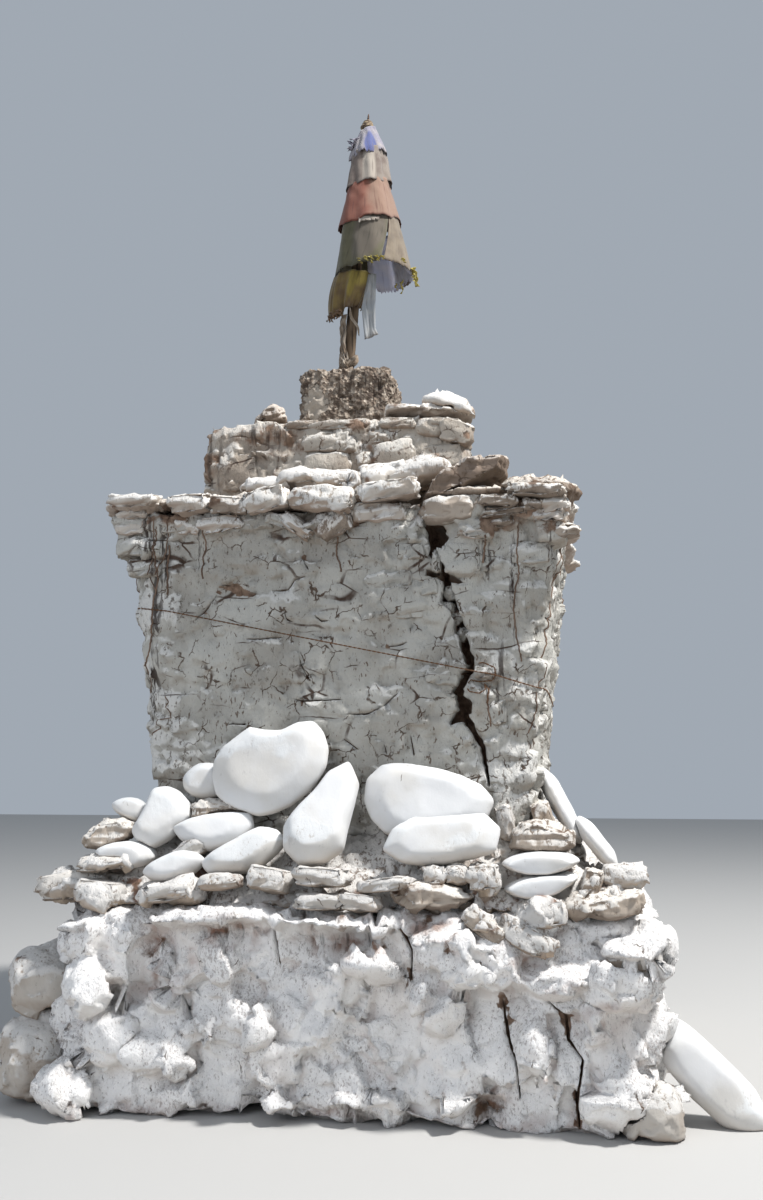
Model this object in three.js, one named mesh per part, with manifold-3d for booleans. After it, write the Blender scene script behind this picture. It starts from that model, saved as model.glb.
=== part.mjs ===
// A small whitewashed stupa of rubble and mud: a square plinth, a shaft that flares
// towards its cornice of slabs, a smaller tier, a mud-brick block and a leaning flag
// pole. White stones lie heaped on the plinth's ledge, and a taut twine binds the shaft.
// Millimetres, +Z up, the front faces -Y, and the origin is on the ground under the shaft.

import * as THREE from 'three';
import { mergeVertices } from 'three/addons/utils/BufferGeometryUtils.js';
import Module from 'manifold-3d';

const wasm = await Module();
wasm.setup();

// Driving dimensions: each mass is given by its foot and its top, seen from above.
const side = (left, right, half) => ({ left, right, front: -half, back: half });

const PLINTH = { base: 0, height: 930, foot: side(-1290, 1510, 1400), top: side(-1225, 1500, 1370) };
const LEDGE = PLINTH.height;
const BODY = { base: LEDGE, height: 1985, foot: side(-945, 975, 965), top: side(-1116, 1184, 1150) };
const BODY_TOP = BODY.base + BODY.height;
const TIER = { base: BODY_TOP, height: 610, foot: side(-839, 601, 720), top: side(-826, 612, 719) };
const TIER_TOP = TIER.base + TIER.height;
const BLOCK = { base: TIER_TOP, height: 458, foot: side(-375, 180, 278), top: side(-382, 182, 280) };
const BLOCK_TOP = BLOCK.base + BLOCK.height;
const BANK = { base: LEDGE, height: 350, foot: side(-1190, 1440, 1330), top: side(-1010, 1050, 1030) };

const CORNICE_THICKNESS = 95;
const CORNICE_REACH = 70;
const CORNICE_DEPTH = 360;

const POLE = { diameter: 76, buried: 300, top: 5690, lean: 0.0725, axisAtBlock: -127 };
const ROPE = { diameter: 12, left: 2530, right: 1975, knotX: 826, sides: 6, samples: 60 };
const KNOT = { size: [88, 46, 120], gap: 40, rise: 30 };

// Face to face, pieces keep about this gap.
const SEAT_GAP = 0.5;
const SLIVER = 0.03;
const WELD = 1e-4;

// A mass fused with its stones is made plainer by up to this much.
const FORM = { plinth: 7, body: 2, bank: 6 };

const FINISH = {
  whitewash: { color: 0xe6e3de, roughness: 0.95, metalness: 0 },
  limeOnStone: { color: 0xf0eeea, roughness: 0.9, metalness: 0 },
  mud: { color: 0x8f7866, roughness: 1, metalness: 0 },
  slate: { color: 0x9a7f70, roughness: 0.9, metalness: 0 },
  wood: { color: 0x6f5f4f, roughness: 0.85, metalness: 0 },
  iron: { color: 0x4a4038, roughness: 0.6, metalness: 0.6 },
  twine: { color: 0x8a5a34, roughness: 0.95, metalness: 0 },
  blue: { color: 0x8fa0c4, roughness: 0.95, metalness: 0 },
  white: { color: 0xc9bdb6, roughness: 0.95, metalness: 0 },
  red: { color: 0xb5705f, roughness: 0.95, metalness: 0 },
  green: { color: 0x85806a, roughness: 0.95, metalness: 0 },
  beige: { color: 0xa89a8a, roughness: 0.95, metalness: 0 },
  yellow: { color: 0x8f7a3a, roughness: 0.95, metalness: 0 },
};

// Solids from three.js geometries, and back. A shape is welded where it is made, near
// its own middle, and a turned shape loses the flat triangles on its axis.

function wholeTriangles(index) {
  const kept = [];
  for (let i = 0; i < index.length; i += 3) {
    const [a, b, c] = index.slice(i, i + 3);
    if (a !== b && b !== c && c !== a) kept.push(a, b, c);
  }
  return kept;
}

function welded(geometry) {
  geometry.deleteAttribute('normal');
  geometry.deleteAttribute('uv');
  const merged = mergeVertices(geometry, WELD);
  merged.setIndex(wholeTriangles([...merged.index.array]));
  return merged;
}

function solidOf(geometry) {
  const mesh = new wasm.Mesh({
    numProp: 3,
    vertProperties: new Float32Array(geometry.attributes.position.array),
    triVerts: new Uint32Array(geometry.index.array),
  });
  return new wasm.Manifold(mesh);
}

function geometryOf(solid) {
  const mesh = solid.getMesh();
  const geometry = new THREE.BufferGeometry();
  geometry.setAttribute('position', new THREE.BufferAttribute(mesh.vertProperties, 3));
  geometry.setIndex(new THREE.BufferAttribute(mesh.triVerts, 1));
  return geometry;
}

function reshape(geometry, move) {
  const points = geometry.attributes.position;
  const point = new THREE.Vector3();
  for (let i = 0; i < points.count; i += 1) {
    point.fromBufferAttribute(points, i);
    move(point);
    points.setXYZ(i, point.x, point.y, point.z);
  }
  return geometry;
}

// A smooth, repeatable unevenness between -1 and 1, for hand-built surfaces.
function unevenness(p, wave, seed) {
  const k = (2 * Math.PI) / wave;
  const a = Math.sin(k * (0.9 * p.x + 0.4 * p.y + 0.2 * p.z) + seed);
  const b = Math.sin(k * 1.3 * (0.8 * p.y - 0.6 * p.z + 0.1 * p.x) + 2.3 * seed);
  const c = Math.sin(k * 0.8 * (0.9 * p.z + 0.5 * p.x - 0.3 * p.y) + 4.1 * seed);
  return (a + b + c) / 3;
}

// A point of a square with rounded corners, from 0 to 4 round its sides.
const CORNER_POWER = 16;
const CORNERS = [[1, -1], [1, 1], [-1, 1], [-1, -1], [1, -1]];

function squarePoint(turn) {
  const index = Math.min(3, Math.floor(turn));
  const along = turn - index;
  const x = THREE.MathUtils.lerp(CORNERS[index][0], CORNERS[index + 1][0], along);
  const y = THREE.MathUtils.lerp(CORNERS[index][1], CORNERS[index + 1][1], along);
  const pull = (Math.abs(x) ** CORNER_POWER + Math.abs(y) ** CORNER_POWER) ** (-1 / CORNER_POWER);
  return new THREE.Vector2(x * pull, y * pull);
}

// A mass of masonry between a foot and a top. Its levels say how high each course is,
// from 0 to 1, and how far it swells there.
function masonryMass({ base, height, foot, top, levels, around, lump, wave, seed }) {
  const geometry = welded(new THREE.CylinderGeometry(1, 1, levels.length - 1, around, levels.length - 1));
  geometry.rotateX(Math.PI / 2);
  reshape(geometry, (p) => {
    const level = levels[Math.round(p.z + (levels.length - 1) / 2)];
    const [rise, swell] = level;
    const turn = ((Math.atan2(p.y, p.x) / (2 * Math.PI) + 1.125) % 1) * 4;
    const onAxis = p.x * p.x + p.y * p.y < 0.5;
    const square = onAxis ? new THREE.Vector2(0, 0) : squarePoint(turn);
    const edge = (name) => THREE.MathUtils.lerp(foot[name], top[name], rise);
    const middle = new THREE.Vector2((edge('left') + edge('right')) / 2, (edge('front') + edge('back')) / 2);
    const half = new THREE.Vector2((edge('right') - edge('left')) / 2, (edge('back') - edge('front')) / 2);
    p.set(middle.x + square.x * half.x, middle.y + square.y * half.y, base + rise * height);
    if (onAxis) return;
    const out = new THREE.Vector2(square.x ** 9, square.y ** 9).normalize();
    const push = swell + lump * unevenness(p, wave, seed);
    p.x += out.x * push;
    p.y += out.y * push;
  });
  return solidOf(geometry);
}

// A stone seen face on: a rounded outline given a thickness, and drawn in towards its
// two faces by its roundness.
function outlineStone({ outline, thickness, round = 0.3, detail = 12, standing = true }) {
  const corners = outline.map(([x, y]) => new THREE.Vector3(x, y, 0));
  const curve = new THREE.CatmullRomCurve3(corners, true, 'centripetal');
  const points = curve.getSpacedPoints(detail).slice(0, -1).map((p) => new THREE.Vector2(p.x, p.y));
  if (THREE.ShapeUtils.area(points) < 0) points.reverse();
  const layers = [[-0.5, 1 - 1.1 * round], [-0.18, 1], [0.18, 1], [0.5, 1 - 1.1 * round]];
  const last = layers.length - 1;
  const geometry = welded(new THREE.CylinderGeometry(1, 1, last, detail, last)).rotateX(Math.PI / 2);
  reshape(geometry, (p) => {
    const [height, scale] = layers[Math.round(p.z + last / 2)];
    const turn = Math.round((Math.atan2(p.y, p.x) / (2 * Math.PI)) * detail + detail) % detail;
    const onAxis = p.x * p.x + p.y * p.y < 0.5;
    const point = onAxis ? new THREE.Vector2(0, 0) : points[turn];
    p.set(point.x * scale, point.y * scale, height * thickness);
  });
  return standing ? geometry.rotateX(Math.PI / 2) : geometry;
}

// A rounded boulder: a ball drawn towards a box by its power.
function boulder({ size, power = 2.6, lump = 0.06, seed = 1, detail = 2 }) {
  return reshape(welded(new THREE.IcosahedronGeometry(1, detail)), (p) => {
    const boxy = (Math.abs(p.x) ** power + Math.abs(p.y) ** power + Math.abs(p.z) ** power) ** (-1 / power);
    const grow = boxy * (1 + lump * unevenness(p, 1.7, seed));
    p.set((p.x * grow * size[0]) / 2, (p.y * grow * size[1]) / 2, (p.z * grow * size[2]) / 2);
  });
}

// Roll turns it in its own face, lean tips its top back from the front, turn spins it.
function place(geometry, { at, roll = 0, lean = 0, turn = 0 }) {
  const rad = THREE.MathUtils.degToRad;
  geometry.rotateY(rad(roll));
  geometry.rotateX(rad(-lean));
  geometry.rotateZ(rad(turn));
  geometry.translate(...at);
  return geometry;
}

// The pieces made so far. Each new piece is cut to sit against them.
const stupa = new THREE.Group();
const made = [];

const boxesMeet = (a, b) => {
  const p = a.boundingBox();
  const q = b.boundingBox();
  return [0, 1, 2].every((i) => p.min[i] < q.max[i] + SEAT_GAP && q.min[i] < p.max[i] + SEAT_GAP);
};

// What cuts the pieces that sit against a solid: the solid grown by the gap about its
// own middle, moved by the gap each way for its hollows, and itself for its thin edges.
function cuttersOf(solid) {
  const box = solid.boundingBox();
  const middle = box.min.map((low, i) => (low + box.max[i]) / 2);
  const scale = box.min.map((low, i) => 1 + (2 * SEAT_GAP) / (box.max[i] - low));
  const grown = solid.translate(middle.map((v) => -v)).scale(scale).translate(middle);
  const moves = [0, 1, 2].flatMap((axis) => [SEAT_GAP, -SEAT_GAP].map((step) => {
    const move = [0, 0, 0];
    move[axis] = step;
    return move;
  }));
  return [grown, solid, ...moves.map((move) => solid.translate(move))];
}

function largestPart(solid) {
  return solid.decompose().reduce((a, b) => (a.volume() > b.volume() ? a : b));
}

function reaches(solid, cutter) {
  const shared = solid.intersect(cutter);
  const meets = shared.volume() > 0;
  shared.delete();
  return meets;
}

function seated(solid, neighbours) {
  let result = solid;
  const cutters = neighbours.flatMap((piece) => piece.cutters).filter((cutter) => boxesMeet(solid, cutter));
  for (const cutter of cutters) {
    if (!reaches(result, cutter)) continue;
    const cut = result.subtract(cutter);
    cut.numTri();
    result.delete();
    result = cut;
  }
  return largestPart(result).asOriginal().simplify(SLIVER);
}

function add(name, solid, finish, cutters = null) {
  const piece = { name, solid: seated(solid, made) };
  piece.cutters = cutters ?? cuttersOf(piece.solid);
  made.push(piece);
  const mesh = new THREE.Mesh(geometryOf(piece.solid), new THREE.MeshStandardMaterial(FINISH[finish]));
  mesh.name = name;
  stupa.add(mesh);
}

// What would reach below the ground is cut off level with it.
const GROUND_DEPTH = 600;
const groundBox = new THREE.BoxGeometry(6000, 6000, GROUND_DEPTH).translate(0, 0, -GROUND_DEPTH / 2);
const ground = solidOf(welded(groundBox));

// The plinth: whitewash over boulders, with a lip that overhangs under the ledge.

const plinthMass = masonryMass({
  ...PLINTH,
  levels: [[0, 0], [0.16, 12], [0.34, 14], [0.52, -6], [0.7, -6], [0.86, 32], [0.96, 16], [1, -38]],
  around: 60,
  lump: 34,
  wave: 620,
  seed: 2.2,
});

// The boulders that stand out of its front: middle along it and up, width, height, how far
// they stand out of it, roll.
const FRONT_LUMPS = [
  [-1140, 800, 250, 260, 90, -8], [-920, 790, 220, 280, 80, 6], [-1100, 570, 250, 290, 140, 14],
  [-930, 600, 240, 260, 50, 0], [-450, 730, 300, 400, 80, -10], [-660, 580, 260, 300, 60, 0],
  [-1020, 310, 360, 290, 100, -6], [-760, 270, 460, 200, 110, -4], [-1160, 100, 280, 200, 140, 0],
  [-320, 470, 270, 210, 120, 14], [-570, 380, 380, 260, 50, 0], [-510, 900, 620, 110, 150, -5],
  [60, 890, 580, 100, 140, 2], [80, 600, 300, 340, 70, -12], [270, 710, 270, 200, 130, 8],
  [-20, 410, 380, 340, 60, 0], [560, 760, 240, 240, 90, 0], [540, 520, 220, 260, 100, -8],
  [-150, 80, 240, 100, 110, 0], [140, 100, 200, 110, 80, 0], [750, 720, 460, 340, 140, 4],
  [990, 360, 160, 400, 70, -4], [1100, 260, 150, 440, 60, 3], [1100, 660, 320, 160, 110, -6],
  [1390, 650, 360, 280, 90, 0], [1270, 460, 180, 260, 70, 0], [1360, 180, 340, 280, 80, 0],
  [1440, 780, 300, 80, 140, 8], [300, 160, 300, 160, 50, 0], [600, 140, 300, 140, 60, 0],
];

// The boulders of each side that faces away: place along it from -1 to 1, then the same.
const SIDE_LUMPS = [
  [-0.86, 760, 400, 280, 100, 8], [-0.5, 800, 340, 230, 80, -6], [-0.14, 770, 460, 270, 110, 4],
  [0.24, 800, 360, 240, 90, -8], [0.58, 760, 420, 300, 110, 6], [0.88, 790, 300, 240, 80, -4],
  [-0.78, 430, 460, 330, 90, -10], [-0.3, 470, 420, 300, 70, 12], [0.1, 420, 480, 320, 90, -6],
  [0.5, 460, 380, 280, 70, 10], [0.86, 400, 380, 300, 90, -8], [-0.88, 120, 380, 240, 110, 4],
  [-0.48, 150, 440, 230, 80, -4], [-0.04, 110, 360, 200, 100, 0], [0.36, 140, 420, 220, 80, 6],
  [0.8, 110, 400, 230, 110, -4],
];
const LUMP_DEPTH = 300;
const LUMP_SUNK = 110;

// A boulder set in the plinth's side that the turn brings to the front.
function plinthLump([along, up, width, height, out, roll], index, turn, face) {
  const size = [width, LUMP_DEPTH, height];
  const stone = boulder({ size, power: 2.4, lump: 0.08, seed: index + turn, detail: 1 });
  place(stone, { at: [along, -(face - LUMP_SUNK + out), up], roll });
  return solidOf(stone.rotateZ(THREE.MathUtils.degToRad(turn)));
}

const sideFaces = [[90, PLINTH.top.right], [180, PLINTH.top.back], [270, -PLINTH.top.left]];
const plinthLumps = [
  ...FRONT_LUMPS.map((lump, index) => plinthLump(lump, index, 0, -PLINTH.top.front)),
  ...sideFaces.flatMap(([turn, face]) => SIDE_LUMPS.map(([share, ...lump], index) => (
    plinthLump([share * PLINTH.top.back, ...lump], index, turn, face)
  ))),
];
const plinth = plinthLumps.reduce((sum, lump) => sum.add(lump), plinthMass);
add('plinth', plinth.subtract(ground).asOriginal().simplify(FORM.plinth), 'whitewash');

// The body, with the crack that runs down from its cornice.

const CRACK_DEPTH = 150;
const CRACK = [
  [470, 2960], [560, 2930], [575, 2780], [548, 2690], [600, 2560], [640, 2440], [672, 2330], [700, 2200],
  [740, 2100], [672, 1990], [700, 1860], [775, 1700], [800, 1520], [785, 1510], [740, 1690], [650, 1850],
  [612, 1975], [690, 2095], [655, 2210], [632, 2330], [575, 2450], [570, 2570], [512, 2660], [500, 2790],
];

function crackCutter() {
  const shape = new THREE.Shape(CRACK.map(([x, z]) => new THREE.Vector2(x, z)));
  const geometry = new THREE.ExtrudeGeometry(shape, { depth: CRACK_DEPTH, bevelEnabled: false });
  geometry.rotateX(Math.PI / 2);
  geometry.translate(0, -BODY.top.back + CRACK_DEPTH, 0);
  return solidOf(welded(geometry));
}

const bodyMass = masonryMass({
  ...BODY,
  levels: [
    [0, 0], [0.07, 8], [0.14, -5], [0.21, 7], [0.28, -6], [0.35, 6], [0.41, -5], [0.48, 8], [0.54, -6],
    [0.61, 7], [0.67, -7], [0.74, 9], [0.8, -7], [0.86, 12], [0.9, -8], [0.95, 14], [1, 2],
  ],
  around: 48,
  lump: 15,
  wave: 540,
  seed: 5.1,
});

// Blocks that stand out by the crack and in the top courses: middle along the front and
// up, width, height, how far out, roll.
const BODY_BLOCKS = [
  [680, 2640, 230, 180, 35, 0], [750, 2770, 200, 90, 60, 12], [620, 2880, 310, 120, 50, -9],
  [370, 2790, 150, 100, 20, 0], [180, 2740, 210, 190, 15, 0], [790, 2090, 120, 110, 20, 6],
  [750, 1960, 130, 100, 20, -4], [-210, 2830, 240, 60, 70, 20], [0, 2850, 180, 80, 50, -28],
  [-1060, 2875, 220, 100, 30, -1], [-1030, 2755, 240, 120, 20, 0], [-810, 2860, 220, 100, 20, -2],
  [-560, 2850, 200, 100, 25, 2], [1050, 2860, 220, 100, 30, 2], [1120, 2750, 140, 100, 45, 0],
  [870, 2840, 160, 100, 30, -3],
];
const BLOCK_DEPTH = 170;
const BODY_FLARE = (BODY.foot.front - BODY.top.front) / BODY.height;

function bodyBlock([along, up, width, height, out, roll]) {
  const face = -BODY.foot.front + (up - LEDGE) * BODY_FLARE + out;
  const block = welded(new THREE.BoxGeometry(width, BLOCK_DEPTH, height));
  return solidOf(place(block, { at: [along, -face + BLOCK_DEPTH / 2, up], roll }));
}

const bodyBlocks = BODY_BLOCKS.map(bodyBlock);
const body = bodyBlocks.reduce((sum, block) => sum.add(block), bodyMass.subtract(crackCutter()));
add('body', body.asOriginal().simplify(FORM.body), 'whitewash');

// The upper tier, and the pole before the block that holds it.

add('upper_tier', masonryMass({
  ...TIER,
  levels: [[0, 10], [0.3, 0], [0.6, 12], [0.9, 4], [1, -16]],
  around: 32,
  lump: 16,
  wave: 430,
  seed: 1.4,
}), 'whitewash');

// Places and turns along the leaning pole.
const poleX = (z) => POLE.axisAtBlock + POLE.lean * (z - BLOCK_TOP);
const POLE_TURN = THREE.MathUtils.radToDeg(Math.atan(POLE.lean));

function alongPole(geometry, z) {
  return place(geometry, { roll: POLE_TURN, at: [poleX(z), 0, z] });
}

function poleSolid(clearance = 0) {
  const foot = BLOCK_TOP - POLE.buried - clearance;
  const length = POLE.top + clearance - foot;
  const radius = POLE.diameter / 2 + clearance;
  const geometry = welded(new THREE.CylinderGeometry(radius * 0.8, radius, length, 12, 1));
  return solidOf(alongPole(geometry.rotateX(Math.PI / 2), foot + length / 2));
}

add('flag_pole', poleSolid(), 'wood', [poleSolid(SEAT_GAP)]);

add('crown_block', masonryMass({
  ...BLOCK,
  levels: [[0, 4], [0.35, -4], [0.88, 2], [1, -14]],
  around: 24,
  lump: 9,
  wave: 260,
  seed: 3.3,
}), 'mud');

// The bank of rubble and mud on the ledge, with the small stones that are set in it.

const bankMass = masonryMass({
  ...BANK,
  levels: [[0, 0], [0.12, 16], [0.5, 8], [1, -12]],
  around: 44,
  lump: 22,
  wave: 380,
  seed: 0.7,
});

// Stones set round the three sides that face away: place along the side, height, size.
const SIDE_STONES = [
  { along: -0.86, rise: 75, size: [300, 250, 130], tip: 6 },
  { along: -0.58, rise: 80, size: [400, 260, 160], tip: 8 },
  { along: -0.22, rise: 70, size: [460, 270, 150], tip: -6 },
  { along: 0.14, rise: 80, size: [330, 250, 120], tip: 4 },
  { along: 0.46, rise: 85, size: [420, 260, 170], tip: 9 },
  { along: 0.8, rise: 75, size: [380, 250, 130], tip: -6 },
  { along: -0.42, rise: 200, size: [420, 200, 150], tip: -7 },
  { along: 0.02, rise: 215, size: [480, 200, 180], tip: 8 },
  { along: 0.42, rise: 215, size: [360, 190, 140], tip: -4 },
  { along: -0.1, rise: 320, size: [300, 160, 110], tip: 3 },
];

// The middle of the bank's slope on one side, at a height over the ledge.
const STONE_INSET = 45;

function bankPoint(sideName, along, rise) {
  const part = rise / BANK.height;
  const edge = (name) => THREE.MathUtils.lerp(BANK.foot[name], BANK.top[name], part);
  if (sideName === 'back') {
    const half = (edge('right') - edge('left')) / 2;
    return [(edge('right') + edge('left')) / 2 - along * half, edge('back') - STONE_INSET, LEDGE + rise];
  }
  const x = sideName === 'left' ? edge('left') + STONE_INSET : edge('right') - STONE_INSET;
  return [x, along * edge('back'), LEDGE + rise];
}

function sideStones(sideName, turn) {
  return SIDE_STONES.map(({ along, rise, size, tip }, index) => {
    const stone = boulder({ size, power: 2.8, lump: 0.08, seed: turn + index, detail: 1 });
    return solidOf(place(stone, { at: bankPoint(sideName, along, rise), roll: tip, turn: turn + tip }));
  });
}

// Small stones set in the front of the bank: middle, size, roll.
const FRONT_STONES = [
  [[-1280, -1120, 1010], [360, 420, 150], -8],
  [[-1100, -1220, 1130], [300, 300, 80], -4],
  [[-1090, -1300, 990], [240, 240, 130], 6],
  [[-720, -1360, 1000], [280, 220, 90], -6],
  [[-470, -1370, 1060], [220, 180, 80], -4],
  [[-220, -1380, 1070], [220, 200, 120], 8],
  [[30, -1380, 1090], [280, 220, 100], 2],
  [[20, -1420, 980], [260, 160, 90], 0],
  [[330, -1380, 1060], [280, 200, 70], -8],
  [[220, -1420, 980], [200, 160, 90], 4],
  [[550, -1300, 1100], [110, 160, 100], 0],
  [[650, -1310, 1100], [110, 140, 100], 0],
  [[780, -1320, 1090], [170, 180, 130], -6],
  [[1050, -1350, 940], [230, 220, 140], -6],
  [[1270, -1260, 1060], [100, 160, 160], 14],
  [[1420, -1180, 1090], [220, 220, 110], 4],
  [[1400, -1200, 1000], [240, 240, 70], 30],
  [[980, -1400, 830], [260, 160, 120], 24],
  [[790, -1410, 880], [220, 140, 100], 34],
  [[1450, -1360, 770], [260, 240, 130], 6],
];

function frontStones() {
  return FRONT_STONES.map(([at, size, roll], index) => {
    const stone = boulder({ size, power: 3, lump: 0.08, seed: index * 1.7, detail: 1 });
    return solidOf(place(stone, { at, roll }));
  });
}

const bankStones = [
  ...frontStones(),
  ...sideStones('left', 90),
  ...sideStones('back', 180),
  ...sideStones('right', 270),
];
const bank = bankStones.reduce((sum, stone) => sum.add(stone), bankMass);
add('ledge_bank', bank.asOriginal().simplify(FORM.bank), 'whitewash');

// The cornice: flat slabs laid on the body round the tier, one by one in front.

const CORNICE_FRONT = [
  { left: -1186, right: -905, reach: 20, thickness: 92, tip: 0 },
  { left: -900, right: -560, reach: -14, thickness: 84, tip: 1 },
  { left: -556, right: -130, reach: 0, thickness: 96, tip: -1 },
  { left: -126, right: 330, reach: -16, thickness: 86, tip: 1 },
  { left: 560, right: 905, reach: 4, thickness: 78, tip: -2 },
  { left: 880, right: 1236, reach: 12, thickness: 118, tip: 2 },
];

// A slab lying flat, its long edge towards the front.
function layingSlab(width, depth, thickness, detail = 12) {
  const w = width / 2;
  const d = depth / 2;
  return outlineStone({
    outline: [[-w, -0.8 * d], [-0.5 * w, -d], [0.35 * w, -0.93 * d], [w, -0.75 * d], [0.97 * w, 0.9 * d],
      [0.1 * w, d], [-0.96 * w, 0.92 * d]],
    thickness,
    round: 0.3,
    detail,
    standing: false,
  });
}

CORNICE_FRONT.forEach(({ left, right, reach, thickness, tip }, index) => {
  const slab = layingSlab(right - left, CORNICE_DEPTH, thickness);
  const y = -BODY.top.back - CORNICE_REACH - reach + CORNICE_DEPTH / 2;
  const at = [(left + right) / 2, y, BODY_TOP + thickness / 2 + Math.abs(tip)];
  add(`cornice_slab_front_${index + 1}`, solidOf(place(slab, { at, roll: tip })), 'limeOnStone');
});

// On the other sides each slab laps onto the next, so that a row is one piece.
function corniceRow(length, count) {
  const pitch = length / count;
  let row = null;
  for (let i = 0; i < count; i += 1) {
    const thickness = CORNICE_THICKNESS + 10 * Math.sin(i * 2.1);
    const slab = layingSlab(pitch * 1.1, CORNICE_DEPTH + 24 * Math.sin(i * 1.3), thickness, 8);
    const solid = solidOf(place(slab, { at: [-length / 2 + pitch * (i + 0.5), 0, thickness / 2], roll: 1 }));
    row = row ? row.add(solid) : solid;
  }
  return row;
}

const corniceMiddle = (BODY.top.left + BODY.top.right) / 2;
const corniceOut = -BODY.top.back - CORNICE_REACH + CORNICE_DEPTH / 2;
const corniceWidth = BODY.top.right - BODY.top.left + 2 * CORNICE_REACH;
const sideLength = 2 * (BODY.top.back + CORNICE_REACH - CORNICE_DEPTH) + 40;
const rows = [
  ['cornice_row_back', corniceWidth, 5, 180, [corniceMiddle, -corniceOut]],
  ['cornice_row_left', sideLength, 3, -90, [BODY.top.left - CORNICE_REACH + CORNICE_DEPTH / 2, 0]],
  ['cornice_row_right', sideLength, 3, 90, [BODY.top.right + CORNICE_REACH - CORNICE_DEPTH / 2, 0]],
];
for (const [name, length, count, turn, [x, y]] of rows) {
  const row = corniceRow(length, count).rotate([0, 0, turn]).translate([x, y, BODY_TOP - 2]);
  add(name, row, 'limeOnStone');
}

// Slabs and stones that have slid onto the cornice or lie on the tiers.

const LOOSE_ON_TIERS = [
  {
    name: 'tilted_slab',
    finish: 'slate',
    stone: outlineStone({
      outline: [[-240, -60], [-150, 30], [60, 62], [235, 55], [215, -30], [0, -66], [-190, -92]],
      thickness: 400,
      round: 0.12,
    }),
    at: [690, -1010, 3060],
    roll: -16,
  },
  {
    name: 'fallen_slab_1',
    finish: 'limeOnStone',
    stone: layingSlab(420, 330, 120),
    at: [-40, -985, 3095],
    roll: 4,
    lean: -12,
  },
  {
    name: 'fallen_slab_2',
    finish: 'limeOnStone',
    stone: layingSlab(480, 340, 130),
    at: [330, -940, 3120],
    roll: -9,
    lean: -14,
  },
  {
    name: 'fallen_slab_3',
    finish: 'limeOnStone',
    stone: layingSlab(330, 280, 100),
    at: [-330, -1000, 3070],
    roll: -4,
    lean: -8,
  },
  {
    name: 'tier_coping_1',
    finish: 'slate',
    stone: layingSlab(420, 330, 70),
    at: [440, -560, 3565],
    roll: 3,
    turn: 4,
  },
  {
    name: 'tier_coping_2',
    finish: 'limeOnStone',
    stone: layingSlab(260, 300, 78),
    at: [570, -560, 3600],
    roll: 16,
    turn: -12,
  },
  {
    name: 'tier_stone',
    finish: 'slate',
    stone: outlineStone({
      outline: [[-88, -52], [-70, 10], [-5, 62], [50, 40], [88, -10], [80, -55]],
      thickness: 170,
      round: 0.24,
    }),
    at: [-455, -600, 3590],
    turn: 12,
  },
];

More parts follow.
